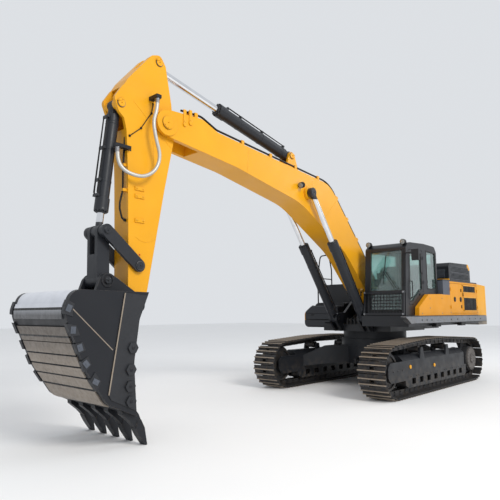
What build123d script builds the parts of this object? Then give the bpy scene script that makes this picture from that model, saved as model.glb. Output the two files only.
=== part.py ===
"""Crawler excavator of the 49 tonne class.

Millimetres. X points forward along the tracks, Y to the cab's side, Z up.
The origin is on the ground, on the swing axis.
"""

import os
from math import acos, atan2, cos, hypot, pi, sin, sqrt, tan

from build123d import *

os.makedirs("parts", exist_ok=True)

# Clearances
SEAT_GAP = 0.3
PIN_PLAY = 0.05
MOVING_GAP = 6

# Tracks
TRACK_GAUGE = 2740
SHOE_WIDTH = 600
SHOE_COUNT = 50
SHOE_PLATE = 14
GROUSER_HEIGHT = 36
TUMBLER_X = 2155
PITCH_RADIUS = 441.6
HALF_LINK = 114.3
PITCH_TO_PLATE = 48.4
RAIL_DEPTH = 105
RAIL_IN = 60
RAIL_OUT = 110
CARRIER_FRONT_X = 775
CARRIER_REAR_X = -615
CARRIER_RISE = 77
CARRIER_RADIUS = 75
CARRIER_HUB_RADIUS = 40
ROLLER_RADIUS = 100
ROLLER_HUB_RADIUS = 62
ROLLER_HALF = RAIL_OUT + 5
ROLLER_COUNT = 9
ROLLER_FIRST_X = -1560
ROLLER_SPACING = 370
TRACK_Y = TRACK_GAUGE / 2
TIP_OFFSET = PITCH_TO_PLATE + SHOE_PLATE + GROUSER_HEIGHT
AXLE_Z = PITCH_RADIUS + TIP_OFFSET
RAIL_INNER = RAIL_DEPTH - PITCH_TO_PLATE
CHORD_RADIUS = sqrt(PITCH_RADIUS**2 - HALF_LINK**2)
RAIL_TREAD_RADIUS = CHORD_RADIUS - RAIL_INNER
ROLLER_Z = TIP_OFFSET + RAIL_INNER + ROLLER_RADIUS + SEAT_GAP

# Track frames and car body
FRAME_HALF = 190
GUARD_PLATE = 40
FRAME_REAR_X = -1640
FRAME_FRONT_X = 1680
FRAME_BOTTOM_Z = 368
FRAME_SIDE_TOP_Z = 725
FRAME_CREST_Z = 835
FRAME_CREST_HALF = 70
GUARD_BOTTOM_Z = 172
GUARD_FOOT_Z = 235
YOKE_FRONT_X = 2330
CARBODY_TOP_Z = 935
RING_TOP_Z = 1290 - SEAT_GAP
RING_RADIUS = 760
RING_FOOT_RADIUS = 810
RING_FOOT_TOP_Z = 1100
RING_BORE_RADIUS = 600

# House
DECK_BOTTOM_Z = 1290
DECK_MID_Z = 1460
DECK_TOP_Z = 1650
DECK_FRONT_X = 1450
TOOLBOX_REAR_X = 500
TOOLBOX_FRONT_X = 800
TOOLBOX_LOW_Z = 1362
TOOLBOX_TOP_Z = 1905
TOOLBOX_GROOVES = [(1538, 24), (1700, 10)]
TOOLBOX_GROOVE_DEPTH = 25
TOOLBOX_CHAMFER = 28
TANK_STEP_X = -55
TANK_TOP_Z = 1985
RAIL_RADIUS = 17
RAIL_BAR_RADIUS = 14
RAIL_BAR_Z = 2640
RAIL_HALF_X = 330
EXHAUST_RADIUS = 75
EXHAUST_HEIGHT = 380
RIGHT_IN_Y = -560
CENTRE_FRONT_X = 1000
CENTRE_HALF = 500
HOUSE_HALF = 1600
TAIL_RADIUS = 3755
DECK_REAR_X = 1010 - TAIL_RADIUS
WEIGHT_BOTTOM_Z = 1390
BODY_FRONT_X = -450
BODY_TOP_Z = 2475
BODY_DEPTH = 900
BODY_INNER_Y = HOUSE_HALF - BODY_DEPTH
PANEL = 40
KNUCKLE_RADIUS = 10
LIFT_EYE = (555 - TAIL_RADIUS, 2550)
LIFT_EYE_Y = 900
LIFT_EYE_RADIUS = 35
LIFT_EYE_HALF = 20
WEIGHT_HEIGHT = 1200
TOW_EYE = (900, 600)
TOW_EYE_RADIUS = 45
TOW_EYE_HALF = 70
TOW_EYE_THICK = 60
CATWALK_WIDTH = 120
CATWALK_OUT_Y = HOUSE_HALF + CATWALK_WIDTH
CATWALK_LOW_Z = 1480
CATWALK_TOP_Z = 1640

# Cab
CAB_IN_Y = 505
CAB_OUT_Y = HOUSE_HALF - 110
SEAT_Y = CAB_OUT_Y - 490
CAB_WALL = 50
CAB_REAR_X = -400
CAB_ROOF_Z = 3165
GLASS = 8
DOOR_EDGE = 9.6
DOOR_HINGE_X = 385
DOOR_LIP = 12
DOOR_LIP_OUT = 30
DOOR_LIP_IN = 15
GUARD_UPRIGHTS = 11
GUARD_LEVELS = 5
GUARD_BAR = 12
GUARD_LOW_Z = 1660
GUARD_HIGH_Z = 2190
GUARD_RAIL_DEPTHS = (-70, -25)
GUARD_UPRIGHT_DEPTHS = (-58, -46)
GUARD_LEVEL_DEPTHS = (-46, -34)
LAMP_X = 1120
LAMP_Z = 3262
LAMP_RADIUS = 62
LAMP_DEPTH = 75
MIRROR_X = 1215
MIRROR_Z = 2950

# Working gear, side view
BOOM_FOOT = (250, 2080)
BOOM_TIP = (6806, 4698)
BOOM_CYLINDER_FOOT = (1200, 1600)
BOOM_CYLINDER_EYE = (3105, 4201)
ARM_CYLINDER_FOOT = (3430, 4970)
ARM_CYLINDER_EYE = (6917, 5689)
BUCKET_PIN = (7250, 1832)
BUCKET_CYLINDER_FOOT = (7595, 4811)
LINK_TOP = (7797, 2875)
LINK_FOOT = (7243, 2414)
BUCKET_LINK_PIN = (7776, 2174)

BOOM_HALF = 262
ARM_HALF = 180
ARM_SLOT_HALF = ARM_HALF + MOVING_GAP
ARM_HOSE_RADIUS = 28
ARM_HOSE = [
    (7060, 345, 5000),
    (7060, 345, 4830),
    (7145, 358, 4610),
    (7090, 366, 4340),
    (6995, 360, 4100),
    (7060, 350, 3870),
    (7235, 338, 3735),
    (7400, 320, 3715),
    (7560, 250, 3775),
    (7650, 200, 3920),
    (7650, 200, 4120),
]
BOOM_SLOT_X = 6080
EAR_PLATE = 50
BOOM_EAR_IN = BOOM_HALF + MOVING_GAP
BOOM_PIPE_Y = 215
BOOM_PIPE_RADIUS = 18
BOOM_PIPE_RISE = 60
BOOM_PIPE_ROWS = [
    # x, z, corner radius
    (303, 2538, 0),
    (831, 3150, 1560),
    (2222, 4603, 760),
    (5686, 4894, 340),
    (6051, 5036, 360),
    (6489, 5012, 0),
]
BOOM_CLAMPS = [
    # corner of the boom before it, corner after it, share of the way between them
    (1, 2, 0.75),
    (2, 3, 0.2),
    (2, 3, 0.5),
    (2, 3, 0.8),
    (3, 4, 0.12),
    (3, 4, 0.35),
    (3, 4, 0.58),
    (3, 4, 0.81),
    (5, 6, 0.15),
    (5, 6, 0.32),
]
BOOM_CLAMP_HALF = 32
BOOM_CLAMP_RISE = BOOM_PIPE_RISE + 26
BOOM_LAMP = (3361, 4327)
BOOM_LAMP_OUT = 78

BOOM_CYLINDER_Y = 385
BOOM_BARREL_RADIUS = 105
BOOM_ROD_RADIUS = 58
BOOM_BARREL_LENGTH = 2019
BOOM_ROD_LENGTH = 2110
ARM_BARREL_RADIUS = 112
ARM_ROD_RADIUS = 62
ARM_BARREL_LENGTH = 2085
ARM_ROD_LENGTH = 2320
BUCKET_BARREL_RADIUS = 92
BUCKET_ROD_RADIUS = 52
BUCKET_BARREL_LENGTH = 1640
BUCKET_ROD_LENGTH = 1610
BARREL_BEGIN = 155

FOOT_PIN_RADIUS = 65
CYLINDER_PIN_RADIUS = 50
TIP_PIN_RADIUS = 65
BUCKET_PIN_RADIUS = 60
LINK_PIN_RADIUS = 50
PIN_HEAD = 14

EYE_HALF_BOOM = 45
EYE_HALF_ARM = 60
EYE_HALF_BUCKET = 62
LINK_EAR_IN = EYE_HALF_BUCKET + MOVING_GAP
LINK_EAR_OUT = 130
LINK_SLOT_SHARES = (-0.05, 0.34)
GUIDE_BOSS_IN = LINK_EAR_OUT + MOVING_GAP
GUIDE_IN = ARM_HALF + MOVING_GAP
GUIDE_OUT = 240
BUCKET_EAR_IN = ARM_HALF + MOVING_GAP
BUCKET_EAR_OUT = 246

# Bucket
BUCKET_HALF = 750
BUCKET_SIDE_PLATE = 40
TOOTH_COUNT = 5
TOOTH_END_Y = 645
TOOTH_HALF = 62
WEAR_PLATE = 16
WEAR_PLATE_HALF = 660
WEAR_PLATE_SPANS = [(-86, -69), (-68, -56), (-55, -43), (-42, -29), (-28, -13), (-12, 5), (12, 26)]
PROTECTOR_THICK = 26
SIDE_BAND = 12
SHROUD_RISE = 26
SHROUD_DEPTH = 80
SHROUD_HALF_ANGLE = 6
SHROUD_ANGLES = [-62, -40, -19, 2, 22]
BUCKET_MIDDLE = (7900, 1500)
PROTECTOR_RADIUS = 78
PROTECTOR_PLACES = [(7700, 1276), (7722, 999), (7728, 790), (7712, 600)]


def side(y):
    """Sketch plane at a lateral place: its own x and y are X and Z, and it faces -Y."""
    return Plane.XZ.offset(-y)


def plate(rows, y_low, y_high, mode=Mode.ADD):
    """Flat piece between two lateral places. Each row is x, z and the corner's radius."""
    points = [(x, z) for x, z, radius in rows]
    radii = [radius for x, z, radius in rows]
    with BuildSketch(side(y_high)) as outline:
        with BuildLine():
            FilletPolyline(*points, radius=radii, close=True)
        make_face()
    extrude(outline.sketch, amount=y_high - y_low, mode=mode)


def pair(rows, y_in, y_out, mode=Mode.ADD):
    """The same flat piece on both sides of the centre plane."""
    plate(rows, y_in, y_out, mode)
    plate(rows, -y_out, -y_in, mode)


def disc(centre, radius, y_low, y_high, mode=Mode.ADD):
    """Round piece across the machine."""
    with BuildSketch(side(y_high)) as outline:
        with Locations(centre):
            Circle(radius)
    extrude(outline.sketch, amount=y_high - y_low, mode=mode)


def disc_pair(centre, radius, y_in, y_out, mode=Mode.ADD):
    disc(centre, radius, y_in, y_out, mode)
    disc(centre, radius, -y_out, -y_in, mode)


def block(x_range, y_range, z_range, mode=Mode.ADD):
    """Box between three pairs of limits."""
    with BuildSketch(Plane.XY.offset(z_range[0])) as outline:
        with Locations(((x_range[0] + x_range[1]) / 2, (y_range[0] + y_range[1]) / 2)):
            Rectangle(x_range[1] - x_range[0], y_range[1] - y_range[0])
    extrude(outline.sketch, amount=z_range[1] - z_range[0], mode=mode)


def round_along(start, end, y, radius, begin, length, mode=Mode.ADD):
    """Round piece on the line between two side-view points, from begin, for length."""
    run = hypot(end[0] - start[0], end[1] - start[1])
    step = ((end[0] - start[0]) / run, (end[1] - start[1]) / run)
    origin = (start[0] + step[0] * begin, y, start[1] + step[1] * begin)
    with BuildSketch(Plane(origin=origin, x_dir=(0, 1, 0), z_dir=(step[0], 0, step[1]))) as outline:
        Circle(radius)
    extrude(outline.sketch, amount=length, mode=mode)


def save(piece, name):
    piece.part.label = name
    export_step(piece.part, f"parts/{name}.step")


def tube_along(points, radii, radius):
    """Round bar, pipe or hose along straight runs with rounded corners."""
    with BuildLine() as way:
        FilletPolyline(*points, radius=radii)
    path = way.wires()[0]
    with BuildSketch(Plane(origin=path @ 0, z_dir=path % 0)) as section:
        Circle(radius)
    sweep(section.sketch, path=path)
    return path.length


# Chain line of one track: the way that its pins take round the two tumblers
def tangent_from(point, centre, radius, turn):
    """Where a line from a point touches a circle, on the side that turn gives."""
    reach = hypot(point[0] - centre[0], point[1] - centre[1])
    heading = atan2(point[1] - centre[1], point[0] - centre[0])
    angle = heading + turn * acos(radius / reach)
    return (centre[0] + radius * cos(angle), centre[1] + radius * sin(angle))


def chain_points():
    """Pin centres at even distances, counterclockwise in side view."""
    top_z = AXLE_Z + PITCH_RADIUS + CARRIER_RISE
    front, rear = (TUMBLER_X, AXLE_Z), (-TUMBLER_X, AXLE_Z)
    front_carrier, rear_carrier = (CARRIER_FRONT_X, top_z), (CARRIER_REAR_X, top_z)
    front_touch = tangent_from(front_carrier, front, PITCH_RADIUS, -1)
    rear_touch = tangent_from(rear_carrier, rear, PITCH_RADIUS, 1)
    front_end = atan2(front_touch[1] - AXLE_Z, front_touch[0] - TUMBLER_X)
    rear_start = atan2(rear_touch[1] - AXLE_Z, rear_touch[0] + TUMBLER_X)
    bottom = AXLE_Z - PITCH_RADIUS
    pieces = [
        ("line", (-TUMBLER_X, bottom), (TUMBLER_X, bottom)),
        ("arc", front, (-pi / 2, front_end)),
        ("line", front_touch, front_carrier),
        ("line", front_carrier, rear_carrier),
        ("line", rear_carrier, rear_touch),
        ("arc", rear, (rear_start, 3 * pi / 2)),
    ]
    lengths = []
    for kind, first, second in pieces:
        if kind == "line":
            lengths.append(hypot(second[0] - first[0], second[1] - first[1]))
        else:
            lengths.append(PITCH_RADIUS * (second[1] - second[0]))
    step = sum(lengths) / SHOE_COUNT
    points = []
    for index in range(SHOE_COUNT):
        rest = index * step
        number = 0
        while rest > lengths[number]:
            rest -= lengths[number]
            number += 1
        kind, first, second = pieces[number]
        share = rest / lengths[number]
        if kind == "line":
            points.append(tuple(a + (b - a) * share for a, b in zip(first, second)))
        else:
            angle = second[0] + (second[1] - second[0]) * share
            points.append((first[0] + PITCH_RADIUS * cos(angle), first[1] + PITCH_RADIUS * sin(angle)))
    return points


# One shoe in side view: share of its pitch, height over the plate
SHOE_ROWS = [
    (0.08, GROUSER_HEIGHT),
    (0.19, GROUSER_HEIGHT),
    (0.27, 0),
    (0.50, 0),
    (0.58, GROUSER_HEIGHT),
    (0.69, GROUSER_HEIGHT),
    (0.77, 0),
]


def loop_at(pins, height, rows=()):
    """Closed outline at a height outside the chain line, with a shoe's rows on each link."""
    count = len(pins)
    normals = []
    for index in range(count):
        x, z = (pins[(index + 1) % count][i] - pins[index][i] for i in (0, 1))
        run = hypot(x, z)
        normals.append((z / run, -x / run))
    outline = []
    for index in range(count):
        before, after = normals[index - 1], normals[index]
        middle = (before[0] + after[0], before[1] + after[1])
        scale = 2 * height / (middle[0] ** 2 + middle[1] ** 2)
        outline.append((pins[index][0] + middle[0] * scale, pins[index][1] + middle[1] * scale))
        start, end = pins[index], pins[(index + 1) % count]
        for share, rise in rows:
            outline.append(tuple(
                start[i] + (end[i] - start[i]) * share + after[i] * (height + rise) for i in (0, 1)
            ))
    return outline


def rail_outline():
    return loop_at(chain_points(), -RAIL_INNER, [(0.12, 0), (0.88, 0)])


def carrier_place(x):
    """Centre of a carrier roller that the upper rails rest on."""
    outline = rail_outline()
    seat = []
    for start, end in zip(outline, outline[1:] + outline[:1]):
        for step in range(20):
            at_x = start[0] + (end[0] - start[0]) * step / 20
            at_z = start[1] + (end[1] - start[1]) * step / 20
            if abs(at_x - x) < CARRIER_RADIUS and at_z > AXLE_Z:
                seat.append(at_z - sqrt(CARRIER_RADIUS**2 - (at_x - x) ** 2))
    return (x, min(seat) - SEAT_GAP)


def ring_between(outer, inner, y_low, y_high):
    """Loop of constant width between two closed outlines."""
    with BuildSketch(side(y_high)) as outline:
        with BuildLine():
            Polyline(*outer, close=True)
        make_face()
        with BuildLine():
            Polyline(*inner, close=True)
        make_face(mode=Mode.SUBTRACT)
    extrude(outline.sketch, amount=y_high - y_low)


def build_track(centre_y, name):
    pins = chain_points()
    plate_in = loop_at(pins, PITCH_TO_PLATE)
    plate_out = loop_at(pins, PITCH_TO_PLATE + SHOE_PLATE, SHOE_ROWS)
    rail_out = loop_at(pins, PITCH_TO_PLATE + SHOE_PLATE / 2)
    rail_in = rail_outline()
    half = SHOE_WIDTH / 2
    with BuildPart() as track:
        ring_between(plate_out, plate_in, centre_y - half, centre_y + half)
        ring_between(rail_out, rail_in, centre_y + RAIL_IN, centre_y + RAIL_OUT)
        ring_between(rail_out, rail_in, centre_y - RAIL_OUT, centre_y - RAIL_IN)
    save(track, name)


def build_idler(centre_y, name):
    centre = (TUMBLER_X, AXLE_Z)
    tread = RAIL_TREAD_RADIUS - SEAT_GAP
    axle_half = FRAME_HALF - GUARD_PLATE
    with BuildPart() as idler:
        disc(centre, tread + 48, centre_y - 50, centre_y + 50)
        for inner, outer in ((50, 110), (-110, -50)):
            disc(centre, tread, centre_y + inner, centre_y + outer)
        for inner, outer in ((84, 110), (-110, -84)):
            disc(centre, tread - 50, centre_y + inner, centre_y + outer, Mode.SUBTRACT)
        disc(centre, 120, centre_y - 125, centre_y + 125)
        disc(centre, 60, centre_y - axle_half, centre_y + axle_half)
    save(idler, name)


def build_sprocket(centre_y, outward, name):
    """Toothed ring between the rails, hub cover outside and motor housing inside."""
    centre = (-TUMBLER_X, AXLE_Z)
    tooth_count = 12
    root, tip = 396, 462
    tooth_rows = [(-0.36, root), (-0.16, tip), (0.16, tip), (0.36, root)]
    teeth = []
    for index in range(tooth_count):
        for share, radius in tooth_rows:
            angle = (index + share) * 2 * pi / tooth_count
            teeth.append((centre[0] + radius * cos(angle), centre[1] + radius * sin(angle)))
    with BuildPart() as sprocket:
        with BuildSketch(side(centre_y + 30)) as outline:
            with BuildLine():
                Polyline(*teeth, close=True)
            make_face()
        extrude(outline.sketch, amount=60)
        for radius, reach in ((310, 150), (285, 200), (120, 218)):
            low, high = sorted((centre_y, centre_y + outward * reach))
            disc(centre, radius, low, high)
        low, high = sorted((centre_y, centre_y - outward * FRAME_HALF))
        disc(centre, 235, low, high)
    save(sprocket, name)


def roller_places():
    return [(ROLLER_FIRST_X + ROLLER_SPACING * index, ROLLER_Z) for index in range(ROLLER_COUNT)]


def carrier_places():
    return [carrier_place(x) for x in (CARRIER_FRONT_X, CARRIER_REAR_X)]


def build_rollers(centre_y, side_name):
    guard_in = FRAME_HALF - GUARD_PLATE
    with BuildPart() as lower:
        for place in roller_places():
            disc(place, ROLLER_RADIUS, centre_y - ROLLER_HALF, centre_y + ROLLER_HALF)
            disc(place, ROLLER_HUB_RADIUS, centre_y - guard_in, centre_y + guard_in)
    save(lower, f"lower_rollers_{side_name}")
    with BuildPart() as upper:
        for place in carrier_places():
            disc(place, CARRIER_RADIUS, centre_y - ROLLER_HALF, centre_y + ROLLER_HALF)
            disc(place, CARRIER_HUB_RADIUS, centre_y - guard_in, centre_y + guard_in)
    save(upper, f"upper_rollers_{side_name}")


def build_track_frame(centre_y, inward, side_name):
    """Beam with sloped shoulders, roller guards, idler yoke and carrier brackets."""
    guard_in = FRAME_HALF - GUARD_PLATE
    section = [
        (centre_y - FRAME_HALF, FRAME_BOTTOM_Z),
        (centre_y + FRAME_HALF, FRAME_BOTTOM_Z),
        (centre_y + FRAME_HALF, FRAME_SIDE_TOP_Z),
        (centre_y + FRAME_CREST_HALF, FRAME_CREST_Z),
        (centre_y - FRAME_CREST_HALF, FRAME_CREST_Z),
        (centre_y - FRAME_HALF, FRAME_SIDE_TOP_Z),
    ]
    guard_rows = [
        (ROLLER_FIRST_X - 180, FRAME_BOTTOM_Z + 60, 0),
        (ROLLER_FIRST_X - 180, GUARD_FOOT_Z, 0),
        (ROLLER_FIRST_X - 90, GUARD_BOTTOM_Z, 0),
        (1470, GUARD_BOTTOM_Z, 0),
        (1600, GUARD_FOOT_Z, 0),
        (1600, FRAME_BOTTOM_Z + 60, 0),
    ]
    yoke_rows = [
        (1560, 330, 0),
        (1560, 725, 0),
        (2240, 725, 60),
        (YOKE_FRONT_X, 640, 60),
        (YOKE_FRONT_X, 430, 60),
        (2220, 330, 60),
    ]
    motor_rows = [(-1500, 330, 0), (-2050, 255, 120), (-2430, 400, 150), (-2430, 690, 150),
                  (-2050, 820, 120), (-1500, 725, 0)]
    with BuildPart() as frame:
        with BuildSketch(Plane.YZ.offset(FRAME_REAR_X)) as outline:
            with BuildLine():
                Polyline(*section, close=True)
            make_face()
        extrude(outline.sketch, amount=FRAME_FRONT_X - FRAME_REAR_X)
        for low, high in ((guard_in, FRAME_HALF), (-FRAME_HALF, -guard_in)):
            plate(guard_rows, centre_y + low, centre_y + high)
            plate(yoke_rows, centre_y + low, centre_y + high)
            for x, z in carrier_places():
                bracket = [(x - 130, FRAME_SIDE_TOP_Z - 60, 0), (x - 55, z + 45, 30),
                           (x + 55, z + 45, 30), (x + 130, FRAME_SIDE_TOP_Z - 60, 0)]
                plate(bracket, centre_y + low, centre_y + high)
        for x, z in roller_places()[:-1]:
            window = [(x + 95, GUARD_FOOT_Z, 18), (x + ROLLER_SPACING - 95, GUARD_FOOT_Z, 18),
                      (x + ROLLER_SPACING - 95, FRAME_BOTTOM_Z - 12, 18), (x + 95, FRAME_BOTTOM_Z - 12, 18)]
            plate(window, centre_y - FRAME_HALF, centre_y + FRAME_HALF, Mode.SUBTRACT)
        low, high = sorted((centre_y + inward * FRAME_HALF, centre_y + inward * (FRAME_HALF + 60)))
        plate(motor_rows, low, high)
        disc((-TUMBLER_X, AXLE_Z), 200, *sorted((high if inward > 0 else low, centre_y + inward * 420)))
    save(frame, f"track_frame_{side_name}")


def build_car_body():
    reach = TRACK_Y - FRAME_HALF
    leg = [(260, 660), (720, 250), (1400, reach), (760, reach)]
    section = [(-reach, 440), (-640, 520), (640, 520), (reach, 440),
               (reach, 700), (760, CARBODY_TOP_Z), (-760, CARBODY_TOP_Z), (-reach, 700)]
    with BuildPart() as car_body:
        with BuildSketch(Plane.XY.offset(430)) as plan:
            Circle(820)
            for x_sign, y_sign in ((1, 1), (1, -1), (-1, 1), (-1, -1)):
                with BuildLine():
                    Polyline(*[(x * x_sign, y * y_sign) for x, y in leg], close=True)
                make_face()
        extrude(plan.sketch, amount=CARBODY_TOP_Z - 430)
        with BuildSketch(Plane.YZ.offset(-1500)) as cross:
            with BuildLine():
                Polyline(*section, close=True)
            make_face()
        extrude(cross.sketch, amount=3000, mode=Mode.INTERSECT)
        for sign in (1, -1):
            x, z = TOW_EYE[0] * sign, TOW_EYE[1]
            root_x = 700 * sign
            end_x = x + TOW_EYE_HALF * sign
            tow = [(root_x, z - TOW_EYE_HALF, 0), (end_x, z - TOW_EYE_HALF, 60),
                   (end_x, z + TOW_EYE_HALF, 60), (root_x, z + TOW_EYE_HALF, 0)]
            plate(tow, -TOW_EYE_THICK / 2, TOW_EYE_THICK / 2)
            disc((x, z), TOW_EYE_RADIUS, -TOW_EYE_THICK / 2, TOW_EYE_THICK / 2, Mode.SUBTRACT)
    save(car_body, "car_body")


def build_swing_ring():
    with BuildPart() as ring:
        with BuildSketch(Plane.XY.offset(CARBODY_TOP_Z)) as foot:
            Circle(RING_FOOT_RADIUS)
            Circle(RING_BORE_RADIUS, mode=Mode.SUBTRACT)
        extrude(foot.sketch, amount=RING_FOOT_TOP_Z - CARBODY_TOP_Z)
        with BuildSketch(Plane.XY.offset(RING_FOOT_TOP_Z)) as race:
            Circle(RING_RADIUS)
            Circle(RING_BORE_RADIUS, mode=Mode.SUBTRACT)
        extrude(race.sketch, amount=RING_TOP_Z - RING_FOOT_TOP_Z)
    save(ring, "swing_ring")


# House
def build_house_frame():
    foot, cylinder = BOOM_FOOT, BOOM_CYLINDER_FOOT
    beam = [
        (DECK_REAR_X, DECK_BOTTOM_Z + 40, 0),
        (DECK_REAR_X, DECK_TOP_Z, 0),
        (-430, DECK_TOP_Z, 0),
        (foot[0] - 190, foot[1] + 60, 160),
        (foot[0] + 60, foot[1] + 190, 160),
        (foot[0] + 230, foot[1] - 40, 120),
        (900, 1730, 100),
        (cylinder[0] + 60, cylinder[1] + 105, 95),
        (cylinder[0] + 105, cylinder[1] - 60, 95),
        (1060, DECK_BOTTOM_Z, 0),
        (-700, DECK_BOTTOM_Z, 0),
    ]
    outer_ear = [
        (820, DECK_BOTTOM_Z, 0),
        (820, 1660, 60),
        (cylinder[0] + 50, cylinder[1] + 105, 95),
        (cylinder[0] + 105, cylinder[1] - 60, 95),
        (1060, DECK_BOTTOM_Z, 0),
    ]
    eye_in = BOOM_CYLINDER_Y - EYE_HALF_BOOM - MOVING_GAP
    eye_out = BOOM_CYLINDER_Y + EYE_HALF_BOOM + MOVING_GAP
    with BuildPart() as frame:
        block((DECK_REAR_X, CENTRE_FRONT_X), (-CENTRE_HALF, CENTRE_HALF), (DECK_BOTTOM_Z, DECK_MID_Z))
        block((DECK_REAR_X, DECK_FRONT_X), (CENTRE_HALF, HOUSE_HALF), (DECK_MID_Z - 40, DECK_TOP_Z))
        block((DECK_REAR_X, TOOLBOX_REAR_X), (-HOUSE_HALF, -CENTRE_HALF), (DECK_MID_Z - 40, DECK_TOP_Z))
        block((-900, 900), (-900, 900), (DECK_BOTTOM_Z, DECK_MID_Z))
        pair(beam, BOOM_EAR_IN, eye_in)
        pair(outer_ear, eye_out, eye_out + EAR_PLATE)
        disc_pair(foot, FOOT_PIN_RADIUS + PIN_PLAY, BOOM_EAR_IN, eye_in, Mode.SUBTRACT)
        disc_pair(cylinder, CYLINDER_PIN_RADIUS + PIN_PLAY, BOOM_EAR_IN, eye_out + EAR_PLATE, Mode.SUBTRACT)
    save(frame, "house_frame")


def build_house_pins():
    eye_in = BOOM_CYLINDER_Y - EYE_HALF_BOOM - MOVING_GAP
    eye_out = BOOM_CYLINDER_Y + EYE_HALF_BOOM + MOVING_GAP + EAR_PLATE
    with BuildPart() as pins:
        disc(BOOM_FOOT, FOOT_PIN_RADIUS, -eye_in - PIN_HEAD, eye_in + PIN_HEAD)
        disc_pair(BOOM_FOOT, FOOT_PIN_RADIUS + 22, eye_in + SEAT_GAP, eye_in + PIN_HEAD)
        disc_pair(BOOM_CYLINDER_FOOT, CYLINDER_PIN_RADIUS, BOOM_EAR_IN, eye_out + PIN_HEAD)
        disc_pair(BOOM_CYLINDER_FOOT, CYLINDER_PIN_RADIUS + 18, eye_out + SEAT_GAP, eye_out + PIN_HEAD)
    save(pins, "house_pins")


def build_counterweight():
    side_rows = [
        (DECK_REAR_X - SEAT_GAP, WEIGHT_BOTTOM_Z, 0),
        (335 - TAIL_RADIUS, WEIGHT_BOTTOM_Z, 160),
        (-TAIL_RADIUS - 10, 1700, 220),
        (-TAIL_RADIUS + 25, 2280, 160),
        (195 - TAIL_RADIUS, 2440, 120),
        (DECK_REAR_X - SEAT_GAP, BODY_TOP_Z, 0),
    ]
    corner_x = -sqrt(TAIL_RADIUS**2 - HOUSE_HALF**2)
    with BuildPart() as weight:
        with BuildSketch(Plane.XY.offset(WEIGHT_BOTTOM_Z)) as plan:
            with BuildLine():
                Polyline((corner_x, HOUSE_HALF), (DECK_REAR_X - SEAT_GAP, HOUSE_HALF),
                         (DECK_REAR_X - SEAT_GAP, -HOUSE_HALF), (corner_x, -HOUSE_HALF))
                ThreePointArc((corner_x, -HOUSE_HALF), (-TAIL_RADIUS, 0), (corner_x, HOUSE_HALF))
            make_face()
        extrude(plan.sketch, amount=WEIGHT_HEIGHT)
        plate(side_rows, -HOUSE_HALF - 1, HOUSE_HALF + 1, Mode.INTERSECT)
        lift = LIFT_EYE
        ear = [(lift[0] - 75, 2400, 0), (lift[0] - 75, lift[1] + 70, 68), (lift[0] + 75, lift[1] + 70, 68),
               (lift[0] + 75, 2400, 0)]
        limits = (LIFT_EYE_Y - LIFT_EYE_HALF, LIFT_EYE_Y + LIFT_EYE_HALF)
        pair(ear, *limits)
        disc_pair(lift, LIFT_EYE_RADIUS, *limits, Mode.SUBTRACT)
    save(weight, "counterweight")


def build_engine_block():
    with BuildPart() as engine:
        block((DECK_REAR_X + 295, -1450), (-420, 420), (DECK_TOP_Z, 2250))
    save(engine, "engine_block")


SIDE_DOOR_ROWS = [
    # name, hinge x, free x, side of the machine
    ("front_side_door", -880, -1640, 1),
    ("rear_side_door", DECK_REAR_X + 45, -1652, 1),
    ("pump_door", DECK_REAR_X + 45, -1000, -1),
]
SIDE_DOOR_LOW_Z = 1700
SIDE_DOOR_HIGH_Z = 2430
LOUVRE_PITCH = 33
LOUVRE_GAP = 18
LOUVRE_DEPTH = 22
DOOR_GRILLES = {
    # distance from the hinge, length, lowest slot, number of slots
    "front_side_door": [],
    "rear_side_door": [(65, 900, 1775, 10), (130, 850, 2240, 5)],
    "pump_door": [(150, 1300, 1860, 5), (150, 1300, 2180, 5)],
}
DOOR_VENTS = {"front_side_door": (-273, -656), "rear_side_door": (), "pump_door": ()}
DOOR_VENT_Z = 2040
DOOR_VENT_RADIUS = 60


def build_body_frames():
    """Open frames behind the cab and on the right, which the side doors close."""
    wing = [(914, DECK_TOP_Z, 0), (893, 1831, 40), (373, 2128, 40), (-460, 2150, 0), (-460, DECK_TOP_Z, 0)]
    for name, sign, front in (("left_fairing", 1, BODY_FRONT_X), ("right_fairing", -1, -920)):
        y_limits = sorted((sign * BODY_INNER_Y, sign * HOUSE_HALF))
        with BuildPart() as fairing:
            block((DECK_REAR_X, front), y_limits, (DECK_TOP_Z, BODY_TOP_Z))
            room = sorted((sign * (BODY_INNER_Y + PANEL), sign * (HOUSE_HALF + 1)))
            for row_name, hinge_x, free_x, door_sign in SIDE_DOOR_ROWS:
                if door_sign == sign:
                    low_x, high_x = sorted((hinge_x, free_x))
                    block((low_x + 20, high_x - 20), room, (SIDE_DOOR_LOW_Z + 20, SIDE_DOOR_HIGH_Z - 20),
                          Mode.SUBTRACT)
                    seat = sorted((sign * (HOUSE_HALF - PANEL - SEAT_GAP), sign * (HOUSE_HALF + 1)))
                    block((low_x - MOVING_GAP, high_x + MOVING_GAP), seat,
                          (SIDE_DOOR_LOW_Z - MOVING_GAP, SIDE_DOOR_HIGH_Z + MOVING_GAP), Mode.SUBTRACT)
            if sign > 0:
                plate(wing, CAB_OUT_Y + 10, HOUSE_HALF)
        save(fairing, name)


def knuckles(place, low_z, high_z):
    """Two upright hinge knuckles near the ends of a door's edge."""
    for z in (low_z + 110, high_z - 190):
        with BuildSketch(Plane.XY.offset(z)) as barrel:
            with Locations(place):
                Circle(KNUCKLE_RADIUS)
        extrude(barrel.sketch, amount=80)


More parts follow.
